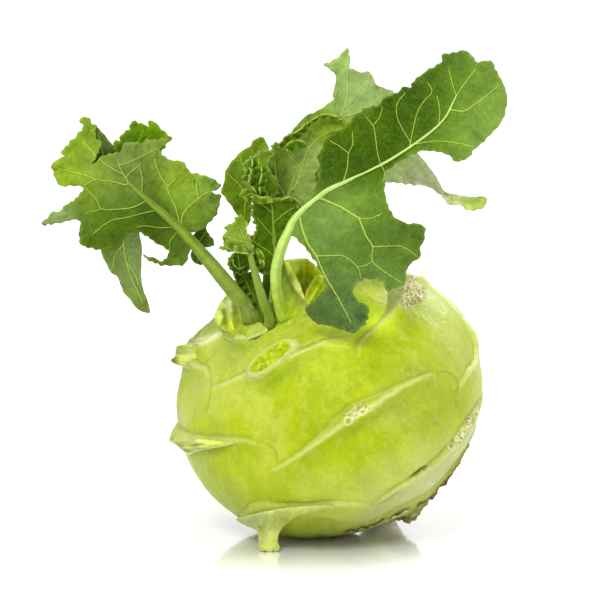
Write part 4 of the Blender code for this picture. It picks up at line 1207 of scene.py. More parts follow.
                 side=-1, colour=(0.34, 0.47, 0.06), curl=1.4, wave=2.5, tip=-0.6),
            dict(path=((-14.2, 68.4, -9.4), (-16, 73, -8.8), (-18, 77.4, -8.6)), width=2.4, side=1,
                 colour=(0.28, 0.41, 0.04), curl=1.2, wave=2.2, tip=-0.4),
            dict(path=((-17.4, 79, -9.4), (-20.4, 77, -10), (-23.4, 78.4, -10.6), (-23.6, 81.6, -9.6)),
                 width=2.2,
                 side=1, colour=(0.36, 0.51, 0.08), curl=1.1, wave=2.4),
        ),
        stalk=((-14.2, 66, -9.6, 0.9), (-16.6, 70.5, -8.6, 0.8), (-19.4, 76, -7.8, 0.6),
               (-20.8, 80, -7.6, 0.4)),
        sheets=(dict(
            outline=(
                (-14.4, 66.5), (-16.6, 69), (-18.4, 71.5), (-20.4, 73.5), (-20.6, 76), (-18.8, 77.6),
                (-16.8, 76.6),
                (-15.6, 73.5), (-14.6, 70), (-13.8, 67.5),
            ),
            marks=((-20, 75, -8.2), (-16, 75, -8.6), (-19, 77, -7.8)),
            paint=((-18, 72, (0.40, 0.52, 0.04)), (-16, 69, (0.32, 0.42, 0.09)),
                   (-18, 76, (0.28, 0.42, 0.04))),
            other=FRESH, rim=0.7, teeth=1.2, tooth_step=1.3, ruffle=1.2, wave=2.6, ruffle_reach=2.2,
            reach=3.0,
            vein_spacing=1.5, midrib_from=0,
        ), dict(
            alone=True,
            outline=(
                (-17.6, 78.6), (-19, 77.4), (-21.2, 77), (-23.2, 78.6), (-24.2, 80.2), (-23.4, 82.4),
                (-21.4, 83.8),
                (-19.4, 83.9), (-17.8, 82.4), (-17.4, 80.4),
            ),
            midrib=((-20, 77.6), (-21, 80), (-21.2, 83)),
            marks=((-17.6, 78.6, -9.6), (-23.8, 79.5, -10.4), (-21.4, 83.8, -7.2), (-18, 82, -8.4),
                   (-21, 80.5, -7.4)),
            paint=((-21, 81, (0.20, 0.33, 0.03)), (-20, 79, (0.36, 0.50, 0.08)),
                   (-22.5, 79, (0.30, 0.44, 0.05))),
            other=FRESH, rim=0.7, rim_colour=(0.66, 0.78, 0.34), teeth=0.9, tooth_step=1.6, ruffle=1.0,
            wave=3.4,
            ruffle_reach=1.8, reach=2.5, vein_spacing=1.5,
        )),
    ),
}


# ---------------------------------------------------------------- the swollen stem

# Each scar: its ridge as (turn, rise) in degrees, where along it the leaf stood, the height of its
# wings and of its middle, the widest part of its pale ledge, and the length of its corky patch
SCARS = (
    dict(ridge=((-21, 15), (-11, 18), (3, 22), (15, 24), (27, 24), (40, 23), (50, 20), (59, 15)),
         at=0.52, wing=1.1, lip=2.0, ledge=3.6, cork=2.8, green=1.0, dry=0.5),
    dict(ridge=((-62, 48), (-44, 54), (-31, 57), (-20, 58), (-8, 59), (6, 60), (20, 60), (34, 58), (46, 53)),
         at=0.46, wing=0.8, lip=2.6, ledge=3.0, cork=0.0),
    dict(ridge=((38, 44), (44, 48), (54, 48), (66, 46), (78, 44), (90, 42), (100, 38), (112, 33),
                (120, 22), (124, 10)),
         at=0.58, wing=1.7, lip=2.8, ledge=4.6, cork=6.2, crease=0.3, cork_lift=-1.8),
    dict(ridge=((132, 30), (118, 14), (104, 0), (88, -5), (78, -2), (66, 1), (58, -2)),
         at=0.35, wing=0.9, lip=1.4, ledge=2.6, cork=0.0),
    dict(ridge=((6, -22), (17, -19), (29, -19), (42, -20), (52, -20), (64, -19), (77, -21), (92, -26)),
         at=0.64, wing=0.8, lip=1.5, ledge=2.4, cork=6.5, slit=(0.21, 0.38), below=1.0, narrow=2.4,
         broken=1.0),
    dict(ridge=((-12, -36), (-2, -36), (9, -36), (18, -37), (26, -39), (37, -44), (46, -42), (56, -39),
                (70, -38)),
         at=0.5, wing=0.8, lip=1.3, ledge=1.6, cork=0.0, torn=1.0),
    dict(ridge=((-122, 8), (-104, 10), (-85, 14), (-70, 22), (-56, 27), (-44, 29), (-31, 30), (-20, 27)),
         at=0.36, wing=1.0, lip=4.2, ledge=3.0, cork=0.0, steep=0.5),
    dict(ridge=((-50, -14), (-34, -6), (-21, -6), (-8, -8), (3, -14), (9, -21)),
         at=0.30, wing=1.0, lip=1.2, ledge=3.6, cork=0.0, crease=0.3),
    dict(ridge=((-134, 44), (-120, 43), (-106, 42), (-91, 47), (-77, 52), (-66, 51)),
         at=0.40, wing=0.8, lip=1.8, ledge=3.0, cork=0.0),
    dict(ridge=((-108, 60), (-92, 65), (-74, 69), (-52, 71), (-34, 74), (-12, 76)),
         at=0.55, wing=0.7, lip=2.4, ledge=5.0, cork=0.0, green=1.4),
    dict(ridge=((136, 50), (156, 56), (176, 58), (198, 54), (216, 45)),
         at=0.50, wing=1.0, lip=2.0, ledge=4.6, cork=4.2),
    dict(ridge=((132, 2), (150, 10), (170, 14), (190, 12), (208, 4)),
         at=0.50, wing=1.0, lip=1.8, ledge=4.4, cork=4.6),
    dict(ridge=((-160, -6), (-140, 0), (-122, 0), (-104, -6), (-88, -16)),
         at=0.48, wing=1.0, lip=1.8, ledge=4.2, cork=4.0),
    dict(ridge=((122, -26), (144, -20), (166, -19), (188, -24), (204, -32)),
         at=0.50, wing=0.8, lip=1.3, ledge=2.6, cork=3.6),
)

# Oval faces where a leaf stalk was cut: both ends as (turn, rise), half width, height below and above
CUT_FACES = (
    dict(ends=((-28, 57.0), (10, 65.0)), half=3.9, low=3.0, high=0.9),
    dict(ends=((168, 68), (206, 64)), half=2.6, low=2.4, high=0.9),
)

# Thin seams that run on from the wings of the scars: shallow grooves with painted shade along them
SEAMS = (
    ((58, 16), (63, 11), (65, 4), (62, 0), (58, -3), (56, -8)),
    ((-20, 28), (-16, 24), (-17, 19)),
    ((-66, 52), (-61, 49), (-58, 44), (-57, 38)),
    ((-104, 64), (-101, 57), (-112, 44), (-118, 36)),
    ((-84, 63), (-80, 58), (-86, 51)),
    ((9, -21), (16, -22), (22, -20)),
    ((160, 40), (170, 34), (168, 26)),
    ((-150, 30), (-146, 22), (-150, 14)),
)

# Ridges down the right and the left shoulder, painted near white along their crests as a painted highlight
HIGHLIGHT_RIDGES = (
    ((121, 30), (115, 20), (108, 10), (103, 2), (98, -5)),
    ((-98, 66), (-99, 58), (-110, 46), (-116, 39)),
)

# Broad swellings: turn, rise, height and reach
SWELLINGS = ((-100, 28, 2.1, 12), (-120, 46, 3.6, 12))

# Pale rings of cork on the scars: turn, rise and radius
CORK_RINGS = (
    (17, 24.5, 1.1), (20.5, 24.8, 0.7), (23.5, 24.6, 0.9), (26.5, 24.2, 0.6),
    (48.5, -18.2, 0.9), (52.5, -17.6, 0.6), (57, -17.6, 0.8), (62, -17.8, 0.6), (68, -18.6, 1.0),
    (94, 38, 0.9), (98, 36, 0.8), (102, 37, 0.9), (97, 40, 0.7), (104, 33, 0.8), (90, 39, 0.8),
)

# Broad areas of the skin with their own colour: turn, rise, reach, colour and amount. The first three are
# painted light: two lighten the skin where the right leaf shades it, and one is a painted highlight on a
# scar's ridge.
SKIN_TONE_AND_LIGHT_AREAS = (
    (75, 54, 11, (0.90, 1.0, 0.18), 0.95),
    (43, 58, 6, (0.90, 1.0, 0.32), 0.7),
    (86, 47, 4.5, (0.98, 1.0, 0.55), 0.9),
    (92, 23, 11, (0.72, 0.79, 0.20), 0.6),
    (78, 9, 10, (0.67, 0.73, 0.26), 0.6),
    (46, 12, 14, (0.64, 0.70, 0.26), 0.6),
    (-65, 70, 9, (0.64, 0.71, 0.24), 0.6),
    (-4, -8, 13, (0.80, 0.86, 0.36), 0.7),
    (23, -16, 13, (0.80, 0.84, 0.46), 0.7),
)

PALE_SKIN = (0.77, 0.81, 0.42)
TAN = (0.74, 0.72, 0.44)
BROWN = (0.42, 0.31, 0.10)

# Short cut stalks and lobes: points from inside the flesh outwards with a radius at each, how flat
# they are and towards where, and the colours of their sides and ends
CUT_STALKS = (
    dict(route=((-24, 10, 50, 5.0), (-31, 9, 51.4, 3.6), (-37.6, 9.4, 52.0, 2.6), (-39.2, 9.6, 51.6, 1.6)),
         flat=0.8, thin=(0, 0.2, 1), side=(0.76, 0.81, 0.40), end=(0.80, 0.83, 0.46)),
    dict(route=((-28, 2, 26, 5.2), (-34, 1, 27.0, 3.8), (-38.6, 1.4, 27.4, 2.0), (-40.4, 2, 27.8, 0.9)),
         flat=0.6, thin=(0, -0.3, 1), side=(0.76, 0.81, 0.36), end=(0.78, 0.82, 0.30)),
    dict(route=((-8, -13.5, 13, 9.0), (-10.6, -18.5, 8.6, 6.0), (-12, -22.4, 5.2, 3.4),
                (-12.2, -25.4, 2.2, 2.4),
                (-12.2, -26.8, 0.6, 1.8)), flat=0.5, thin=(0, -1, 0.6),
         side=(0.70, 0.76, 0.28), end=TAN),
    dict(route=((24, -1, 62, 7.0), (28.2, -3.2, 69, 5.4), (29.3, -4.2, 71.4, 4.4)), flat=1.0,
         side=(0.72, 0.77, 0.30), end=(0.80, 0.78, 0.54)),
    dict(route=((-16, -4, 58, 5.0), (-20.4, -2.4, 64, 4.0), (-22.6, -1.6, 68.0, 2.4),
                (-23.2, -1.4, 69.8, 1.4)),
         flat=0.5, side=(0.78, 0.83, 0.42), end=(0.74, 0.80, 0.30)),
    dict(route=((16.5, 13.6, 19, 10.0), (20.0, 16.5, 12, 9.0), (22.6, 18.6, 6.6, 7.4),
                (23.6, 19.6, 4.6, 6.4)),
         flat=1.0, side=(0.52, 0.46, 0.22), end=(0.70, 0.66, 0.44)),
    dict(route=((25, -7, 15, 7.0), (28.6, -6.4, 10, 5.4), (29.8, -5.4, 7.4, 3.2), (29.4, -4.8, 6.0, 1.6)),
         flat=0.45, thin=(0.4, -1, 0.2), side=(0.58, 0.60, 0.28), end=BROWN),
)

# Thin pieces of stalk bases, drawn on the sheet as the leaves are
FLAPS = (
    # The skirt of the foot
    dict(outline=((-21.4, 4.6), (-17.2, 5.8), (-13.3, 6.8), (-7.4, 7.9), (-1.4, 8.5), (6, 8.9), (6.3,
         8), (2.4, 7.6), (-1.4, 6.7), (-4.1, 5.6), (-6.2, 4.1), (-8, 2.4), (-9, 0.6), (-9.5, -1.2),
         (-9.3, -3), (-8.9, -3.9), (-9.8, -4.9), (-11, -4.6), (-11.8, -5.2), (-13, -4.6), (-14.2, -4.9),
         (-15, -3.6), (-14.8, -2.1), (-15.1, 0), (-15.9, 1.3), (-18.4, 2.4), (-20.8, 3.5)),
         midrib=((-11.3, 7.1), (-11.8, 0.9), (-11.8, -4.5)), marks=((-21.4, 4.4, -10.7), (-17.2, 5.6,
         -23.7), (-13.3, 6.8, -28.5), (-7.4, 7.9, -32.7), (-1.4, 8.5, -34.8), (6, 8.9, -35.4), (6.3, 8,
         -34.8), (-1.4, 6.7, -33.9), (-8, 2.4, -26.9), (-14.2, 3.8, -25), (-16, 1.5, -16), (-18.4, 2.8,
         -14), (-14.2, -2.1, -27), (-9.2, -2.4, -27.4), (-11.8, -5.1, -29.2), (-14.2, -4.8, -28.9),
         (-9.2, -4.8, -28.9)),
         paint=((-17.8, 4.4, (0.72, 0.78, 0.38)), (-11.8, 5.6, (0.76, 0.82, 0.38)), (-2.9, 7.7, (0.80,
         0.85, 0.42)), (-12.7, 2.6, (1.0, 1.0, 0.92)), (-10.1, 2.6, (0.66, 0.75, 0.18)), (-12.7, -0.6,
         (0.98, 1.0, 0.74)), (-10.1, -1.5, (0.66, 0.74, 0.22)), (-11.8, -3.9, (0.66, 0.66, 0.24)),
         (-14.2, -3.6, (0.78, 0.80, 0.50)), (-9.8, -4.2, (0.52, 0.50, 0.12))),
         teeth=0.3, tooth_step=1.6, thickness=1.1, rim=0.35, rim_colour=(0.84, 0.88, 0.56), streak=(60,
         0.2)),
    # The cut lip on the left
    dict(outline=((-41, 28.2), (-38.6, 28.5), (-35.7, 28.4), (-31.2, 28.1), (-26.1, 27.6), (-22, 27.2),
         (-25.5, 26.2), (-28.5, 25.6), (-31.8, 24.8), (-33.9, 24.1), (-36, 23.3), (-37.7, 24.5), (-39.8,
         26.2)),
         midrib=((-40.4, 27.9), (-32.7, 27.4), (-23.2, 27.1)), marks=((-41, 28.2, 3.1), (-35.7, 28.4,
         -10), (-28.2, 27.6, -23.1), (-22, 27.2, -28.3), (-28.5, 25.6, -23.5), (-36, 23.5, -5.5),
         (-38.6, 25, 1.4)),
         paint=((-39.2, 27.4, (0.84, 0.87, 0.50)), (-35.7, 27.4, (0.80, 0.86, 0.34)), (-31.2, 27.1,
         (0.82, 0.87, 0.44)), (-33.9, 25.9, (0.70, 0.77, 0.26)), (-37.4, 25.3, (0.46, 0.54, 0.04)),
         (-35.7, 24.1, (0.72, 0.80, 0.14)), (-25.2, 27.1, (0.76, 0.82, 0.30)), (-30.3, 25.9, (0.80,
         0.85, 0.34)), (-35.7, 25.6, (0.62, 0.70, 0.10)), (-39.5, 26.2, (0.60, 0.62, 0.12))),
         thickness=1.0, rim=0.8, rim_colour=(0.92, 0.96, 0.50), reach=1.4, streak=(4, 1.5)),
    # The horn on the left shoulder
    dict(outline=((-39.7, 55.2), (-38.3, 55.8), (-36.3, 56.1), (-34.5, 56.5), (-32.7, 55), (-32.1,
         52.1), (-33.3, 49.4), (-35.7, 48.6), (-38, 49.5), (-39.8, 50.1), (-41.2, 51), (-40.9, 51.8),
         (-40.1, 52.4)),
         midrib=((-40.1, 51.5), (-35.7, 50.9), (-32.1, 50.3)), marks=((-39.8, 55.3, 9.4), (-40.1, 50.9,
         9), (-35.7, 55.6, 6), (-35.7, 49.7, 4), (-32.7, 54.4, 6.5), (-32.7, 49.7, 2)),
         paint=((-38.6, 55, (0.72, 0.80, 0.24)), (-38.6, 53.5, (0.82, 0.86, 0.56)), (-38, 51.8, (0.80,
         0.84, 0.30)), (-36.3, 50.3, (0.76, 0.80, 0.44)), (-40.7, 51.2, (0.42, 0.40, 0.08)), (-35.1,
         54.4, (0.78, 0.84, 0.48)), (-32.7, 52.1, (0.74, 0.82, 0.34))),
         thickness=1.2, rim=0.2, rim_colour=(0.86, 0.90, 0.58), reach=1.4, streak=(-12, 0.7)),
    # Fibrous lobe at the crown's left
    dict(outline=((-27.9, 62.8), (-27.6, 66), (-26.4, 68.4), (-24.6, 70.8), (-23.2, 71.7), (-21.4,
         70.5), (-19.9, 68.1), (-18.7, 65.7), (-17.2, 62.8), (-17.5, 60.1), (-20.8, 59.5), (-24.9,
         60.1)),
         midrib=((-22.6, 60.4), (-23.2, 65.7), (-23.5, 70.5)), marks=((-27.6, 65.1, -2.5), (-24, 71.1,
         0), (-20.8, 69.6, -2), (-18.4, 65.1, -6), (-17.8, 60.4, -7.2), (-23.2, 60.4, -5.6), (-27, 61.6,
         -2.4)),
         paint=((-26.4, 67.5, (0.80, 0.85, 0.46)), (-24, 69.9, (0.78, 0.83, 0.36)), (-23.8, 67.8, (0.92,
         0.96, 0.66)), (-23.5, 66, (0.92, 0.96, 0.64)), (-25.2, 65.4, (0.52, 0.61, 0.06)), (-24.6, 63.4,
         (0.48, 0.58, 0.03)), (-22.3, 67.2, (0.56, 0.65, 0.08)), (-22, 65.4, (0.52, 0.61, 0.06)),
         (-23.5, 64.3, (0.78, 0.83, 0.40)), (-20.8, 66.6, (0.90, 0.95, 0.60)), (-26.4, 64.6, (0.90,
         0.95, 0.58)), (-21.4, 62.8, (0.62, 0.70, 0.14)), (-23.5, 62.2, (0.74, 0.80, 0.22)), (-19.9,
         64.9, (0.74, 0.82, 0.32)), (-19, 62.8, (0.72, 0.80, 0.26)), (-27, 64, (0.76, 0.82, 0.34))),
         thickness=1.6, rim=0.3, rim_colour=(0.82, 0.87, 0.50), reach=0.8, streak=(105, 0.7)),
    # The cup below that lobe
    dict(outline=((-27, 60.1), (-24.9, 61.9), (-23.2, 62.5), (-20.8, 61.9), (-17.8, 61.7), (-15.1,
         62.5), (-13.6, 61.6), (-12.4, 60.4), (-14.2, 59.2), (-16.6, 58.2), (-19.3, 57.1), (-22.3, 57),
         (-25.2, 57.9)),
         midrib=((-25.5, 59.8), (-20.8, 59.2), (-14.2, 61)), marks=((-27, 59.8, 3), (-23.2, 62.5, -1.4),
         (-17.8, 61.9, -11.4), (-13.6, 61.6, -15.9), (-14.2, 59.2, -18), (-19.3, 57.1, -15.2), (-24.3,
         57.7, -7.3), (-20.8, 59.8, -9.4)),
         paint=((-24.3, 59.2, (0.56, 0.65, 0.03)), (-22.9, 60.7, (0.74, 0.81, 0.20)), (-21.4, 58.6,
         (0.60, 0.69, 0.06)), (-19, 60.1, (0.66, 0.74, 0.16)), (-19.9, 58.3, (0.66, 0.76, 0.10)),
         (-17.5, 59.2, (0.72, 0.80, 0.30)), (-15.4, 61, (0.70, 0.78, 0.26)), (-20.8, 61.3, (0.62, 0.70,
         0.10))),
         thickness=1.0, rim=0.75, rim_colour=(0.84, 0.89, 0.56), reach=1.6, roll=0.3),
    # Back wall of the clasp
    dict(outline=((-7.1, 80.6), (-5.6, 81.5), (-2.3, 81.8), (-0.1, 81.2), (2.4, 78.8), (4.5, 76.2), (3,
         72.3), (1, 69.3), (-1.1, 67.5), (-3.2, 69.3), (-5.6, 72.9), (-7.1, 76.8)),
         midrib=((-1.4, 68.7), (-2, 75.3), (-2.3, 81.2)), marks=((-7.1, 78.8, -9), (-2.3, 81.8, 0.5),
         (2.4, 78.8, -1), (4.5, 75.9, -5), (0.1, 69.9, -7), (-2.9, 75.3, -1), (-5.3, 72.9, -9), (-1.4,
         72.3, -3)),
         paint=((-5.9, 79.7, (0.76, 0.82, 0.20)), (-3.8, 80.6, (0.72, 0.79, 0.16)), (-1.4, 78.8, (0.62,
         0.71, 0.04)), (-0.2, 75.9, (0.56, 0.66, 0.03)), (-2.9, 75.3, (0.56, 0.65, 0.05)), (-1.7, 71.7,
         (0.40, 0.34, 0.03)), (-1.1, 72.9, (0.44, 0.46, 0.03)), (2.1, 78.2, (0.76, 0.82, 0.06)), (3.6,
         76.2, (0.76, 0.82, 0.10)), (0.7, 80.3, (0.72, 0.78, 0.10))),
         thickness=1.4, rim=0.6, rim_colour=(0.82, 0.87, 0.32), reach=1.4, streak=(80, 0.4)),
    # Left wall of the clasp
    dict(outline=((-8, 80.6), (-6.8, 80.8), (-5.9, 79.7), (-4.7, 77.4), (-3.2, 74.4), (-2, 71.4), (-1.1,
         68.4), (-2.3, 65.1), (-4.1, 65.7), (-5.6, 70.5), (-7.1, 74.7)),
         midrib=((-7.1, 80), (-4.7, 74.7), (-2, 69.3)), marks=((-8, 80.6, -11.5), (-5.9, 79.7, -11),
         (-2, 71.4, -12.6), (-1.7, 68.7, -12.6), (-6.5, 74.1, -12.2)),
         paint=((-6.5, 79.4, (0.78, 0.83, 0.24)), (-5.3, 76.8, (0.80, 0.85, 0.36)), (-3.8, 73.2, (0.84,
         0.87, 0.44)), (-2.3, 70.5, (0.82, 0.83, 0.30)), (-6.8, 76.5, (0.70, 0.78, 0.14))),
         thickness=1.3, rim=0.5, rim_colour=(0.86, 0.89, 0.44), reach=1.6, streak=(60, 0.5)),
    # Cut lip of the clasp
    dict(outline=((1.8, 76.3), (3.3, 76.5), (4.5, 75.3), (5, 73.5), (3, 71.1), (1, 68.7), (-0.5, 67.1),
         (-1.6, 68.4), (-1.3, 71.1), (0.1, 73.8)),
         midrib=((-0.8, 68.1), (1.2, 71.7), (3.6, 75.3)), marks=((1.8, 76.2, -8), (4.8, 74.7, -7.4), (1,
         69.3, -12), (-1.1, 68.4, -12.6), (-0.8, 72.3, -10.6)),
         paint=((3, 75.3, (0.62, 0.72, 0.02)), (0.7, 72.9, (0.56, 0.66, 0.02)), (1.8, 72, (0.66, 0.76,
         0.05)), (-0.2, 69.9, (0.66, 0.75, 0.05)), (3.9, 73.8, (0.72, 0.80, 0.08)), (2.4, 73.8, (0.52,
         0.62, 0.01))),
         thickness=1.3, rim=0.7, rim_colour=(0.86, 0.90, 0.36), reach=1.0, teeth=0.4, tooth_step=1.5,
         streak=(60, 0.9)),
    # Sheath from the right stalk to the clasp
    dict(outline=((-8.6, 83.6), (-7.8, 80.6), (-6.6, 76.8), (-5.1, 73.5), (-3.2, 70.7), (-1.6, 68.9),
         (-0.8, 66.9), (-1.1, 64), (-2.9, 61.6), (-6.5, 61.3), (-9.2, 61.9), (-10.1, 64), (-9.8, 69.3),
         (-9.5, 75.3)),
         midrib=((-8.9, 82.4), (-7.7, 75.3), (-5.6, 69.3), (-3.8, 63.4)), marks=((-8.6, 83.6, -16.4),
         (-5.3, 73.5, -14.8), (-1.7, 69, -13.2), (-9.5, 75.3, -18.6), (-9.8, 69.3, -16.2), (-5.9, 67.5,
         -16.4), (-1.7, 64, -15.6), (-5.9, 61.6, -16.2), (-9.2, 62.2, -15)),
         paint=((-8.3, 82.1, (0.36, 0.46, 0.08)), (-7.4, 78.8, (0.34, 0.44, 0.06)), (-6.2, 75.6, (0.34,
         0.44, 0.05)), (-4.7, 72.9, (0.40, 0.50, 0.08)), (-2.9, 70.2, (0.54, 0.63, 0.20)), (-8, 74.7,
         (0.56, 0.65, 0.20)), (-6.5, 71.7, (0.52, 0.62, 0.16)), (-4.4, 68.4, (0.56, 0.65, 0.14)), (-7.1,
         68.4, (0.50, 0.60, 0.06)), (-7.7, 64.9, (0.62, 0.70, 0.08)), (-4.7, 64.9, (0.68, 0.76, 0.12)),
         (-2.9, 62.8, (0.74, 0.80, 0.14)), (-1.7, 66.3, (0.74, 0.79, 0.24))),
         thickness=1.4, rim=0.45, rim_colour=(0.74, 0.80, 0.42), reach=1.7, streak=(72, 0.25)),
    # Torn flap under the root
    dict(outline=((22.7, 5), (26.2, 6.8), (30.4, 8.9), (35.2, 11.4), (36.1, 10.8), (34.9, 8.6), (33.4,
         6.8), (32.2, 4.7), (30.4, 3.2), (29.2, 2.8), (27.4, 3.8), (25.7, 3.7), (23.3, 3.5)),
         midrib=((24.5, 4.7), (29.2, 6.5), (34.6, 10.4)), marks=((22.7, 4.7, -4), (26.8, 7.1, -6.5),
         (35.5, 11.3, -2), (29.8, 3.2, -1), (25.7, 3.8, -2.6)),
         paint=((25.4, 5.6, (0.58, 0.60, 0.16)), (28, 5.9, (0.54, 0.62, 0.16)), (30.4, 6.5, (0.46, 0.56,
         0.12)), (29.2, 3.8, (0.50, 0.46, 0.08)), (33.4, 9.2, (0.56, 0.62, 0.22)), (26.2, 4.1, (0.46,
         0.40, 0.08)), (31.3, 7.7, (0.62, 0.66, 0.26))),
         thickness=0.9, rim=0.85, rim_colour=(0.46, 0.34, 0.05), reach=1.6, teeth=0.7, tooth_step=1.9,
         roll=0.7, streak=(35, 0.9)),
)

# The plane that the root was cut along, seen nearly edge on from the front
ROOT_PLACE = np.array([37.6, 5.0, 14.4])
ROOT_FACING = np.array([0.81, 0.03, -0.585]) / np.linalg.norm([0.81, 0.03, -0.585])


def ball_points(turn, rise):
    """Points of the plain ball in its own frame. Turn 0 faces the front, rise 90 is the crown."""
    turn, rise = np.radians(turn), np.radians(rise)
    ring = BULB_RADIUS * np.cos(rise)
    return np.stack([ring * np.sin(turn), -ring * np.cos(turn), BULB_HALF_HEIGHT * np.sin(rise)], -1)


def ball_normals(points):
    slopes = points / np.array([BULB_RADIUS, BULB_RADIUS, BULB_HALF_HEIGHT]) ** 2
    return slopes / np.linalg.norm(slopes, axis=-1, keepdims=True)


def beside(points, ridge):
    """For ball points near a ridge: how far above it, how far past its ends, and where along it."""
    path = smooth_line(ridge, 1.2)
    line = ball_points(path[:, 0], path[:, 1])
    along = np.gradient(line, axis=0)
    uphill = np.cross(ball_normals(line), along)
    uphill /= np.linalg.norm(uphill, axis=1, keepdims=True)
    uphill *= np.sign(uphill[:, 2:3])
    nearest = np.empty(len(points), int)
    for start in range(0, len(points), 8000):
        gaps = ((points[start:start + 8000, None] - line[None]) ** 2).sum(axis=2)
        nearest[start:start + 8000] = gaps.argmin(axis=1)
    gap = points - line[nearest]
    above = (gap * uphill[nearest]).sum(axis=1)
    past = np.linalg.norm(gap - above[:, None] * uphill[nearest], axis=1)
    return above, past, nearest / (len(line) - 1)


def add_scar(ball, wobble, scar, lift, groove, masks):
    """Raises one leaf scar: a ledge that ends in a crease, with its corky patch, a painted highlight along
    its rim, and painted shade in the crease and below the ledge.
    """
    above, past, place = beside(ball, scar["ridge"])
    above = above + wobble
    ends = np.sin(math.pi * place) ** 0.6 * np.exp(-(past / 2.0) ** 2)
    middle = np.exp(-((place - scar["at"]) / 0.16) ** 2)
    height = ends * (scar["wing"] + (scar["lip"] - scar["wing"]) * middle)
    width = 0.5 + ends * (1.1 + (scar["ledge"] - 1.1) * middle)
    on_ledge = 1 - np.clip(above / width, 0, 1) ** 1.3
    slope = np.exp(-(np.maximum(-above, 0) / ((2.0 + 1.4 * middle) * scar.get("steep", 1))) ** 1.5)
    np.maximum(lift, height * np.where(above > 0, on_ledge, slope), out=lift)
    crease = scar.get("crease", 0.6)
    np.maximum(groove, 0.55 * crease * np.exp(-((above - width) / 0.6) ** 2) * ends, out=groove)

    def mark(key, amount):
        np.maximum(masks[key], amount, out=masks[key])

    mark("ledge", ramp(above, -1.0, 0.0) * (1 - ramp(above, width - 0.5, width + 0.2)) * ends)
    # Painted highlight along the edge of the ledge
    mark("rim", np.exp(-((above + 0.15) / 0.55) ** 2) * np.minimum(1, 1.5 * ends))
    # Painted shade in the crease where the ledge meets the skin above
    mark("seam", crease * np.exp(-((above - width) / 0.33) ** 2) * np.minimum(1, 1.6 * ends))
    mark("shade", np.exp(-((above + 2.6) / 1.7) ** 2) * ends * (0.2 + 0.8 * middle))
    if "green" in scar:
        mark("green", scar["green"] * ends * middle * ramp(above, 0.7,
                                                           1.2) * (1 - ramp(above, width - 1.2, width)))
    if scar["cork"]:
        middle_height = scar.get("cork_lift", 0.45 * scar["ledge"])
        reach = np.hypot((above - middle_height) * 1.5 * scar.get("narrow", 1), 34 * (place - scar["at"]))
        patchy = scar.get("dry", 1.0) - ramp(cells(ball, 2.6, 46.0), 0.05, 0.3) * scar.get("broken", 0.0)
        mark("cork", patchy * (1 - ramp(reach + 2 * wobble, 0.75 * scar["cork"], 1.05 * scar["cork"])))
    if "slit" in scar:
        low, high = scar["slit"]
        open_part = ramp(place, low, low + 0.1) * (1 - ramp(place, high - 0.06, high))
        slit = np.exp(-((above - 0.9) / 0.42) ** 2) * open_part * np.exp(-(past / 2.0) ** 2)
        mark("slit", slit)
        np.maximum(groove, 2.0 * slit, out=groove)
    if "torn" in scar:
        mark("torn", np.exp(-((above + 0.3) / 0.9) ** 2) * np.minimum(1, 4 * ends))
    if "below" in scar:
        mark("below", ramp(-above, 0.2, 1.4) * (1 - ramp(-above, 10, 15)) * np.exp(-(past / 6.0) ** 2))


def add_cut_face(ball, face, lift, masks):
    """Raises an oval cut end of a leaf stalk, with a pale rim round rough green flesh."""
    first, last = (ball_points(*end) for end in face["ends"])
    centre, run = (first + last) / 2, (last - first) / 2
    half_length = np.linalg.norm(run)
    along = run / half_length
    across = np.cross(ball_normals(centre), along)
    across *= np.sign(across[2])
    gap = ball - centre
    s, t = gap @ along / half_length, gap @ across / face["half"]
    out = (np.abs(s) ** 2.4 + np.abs(t) ** 2.4) ** (1 / 2.4) + 0.05 * cells(ball, 1.6, 21.0)
    out = np.where((gap ** 2).sum(axis=1) < 300, out, 9.0)
    height = face["low"] + (face["high"] - face["low"]) * np.clip((t + 1) / 2, 0, 1)
    plateau = 1 - ramp(out, 0.98, 1.22)
    flesh = 1 - ramp(out, 0.80, 0.90)
    rough = 0.6 * cells(ball, 1.5, 22.0) + 0.35 * cells(ball, 0.7, 23.0)
    raised = height * plateau - flesh * (0.7 + rough)
    np.copyto(lift, np.where(out < 1.35, np.maximum(lift * (1 - plateau), raised), lift))
    masks["cut"] = np.maximum(masks["cut"], flesh)
    masks["rim"] = np.maximum(masks["rim"] * (1 - flesh), ramp(out, 0.82,
                                                               0.92) * (1 - ramp(out, 1.04, 1.25)))
    for key in ("ledge", "seam", "shade", "green", "cork"):
        masks[key] = masks[key] * (1 - plateau)
    under = np.exp(-((t + 1.75) / 0.5) ** 2) * (1 - ramp(np.abs(s), 0.6, 1.3)) * (out < 9)
    masks["shade"] = np.maximum(masks["shade"], 1.2 * under)


def skin_shape(ball):
    """Lift of the skin and its colour masks at points of the plain ball."""
    count = len(ball)
    lift, groove = np.zeros(count), np.zeros(count)
    keys = ("ledge", "rim", "seam", "cork", "cut", "shade", "green", "slit", "torn", "below")
    masks = {key: np.zeros(count) for key in keys}
    wobble = 0.35 * cells(ball, 5.0, 2.0) + 0.2 * cells(ball, 1.6, 4.0)
    for scar in SCARS:
        add_scar(ball, wobble, scar, lift, groove, masks)
    for face in CUT_FACES:
        add_cut_face(ball, face, lift, masks)
    for seam in SEAMS:
        above, past, place = beside(ball, seam)
        ends = np.sin(math.pi * np.clip(place, 0.02, 0.98)) ** 0.5 * np.exp(-(past / 0.8) ** 2)
        line = np.exp(-((above + 0.5 * wobble) / 0.32) ** 2) * ends
        groove = np.maximum(groove, 0.35 * line)
        # Painted shade along the seam's groove
        masks["seam"] = np.maximum(masks["seam"], 0.8 * line)
    return lift - groove, masks


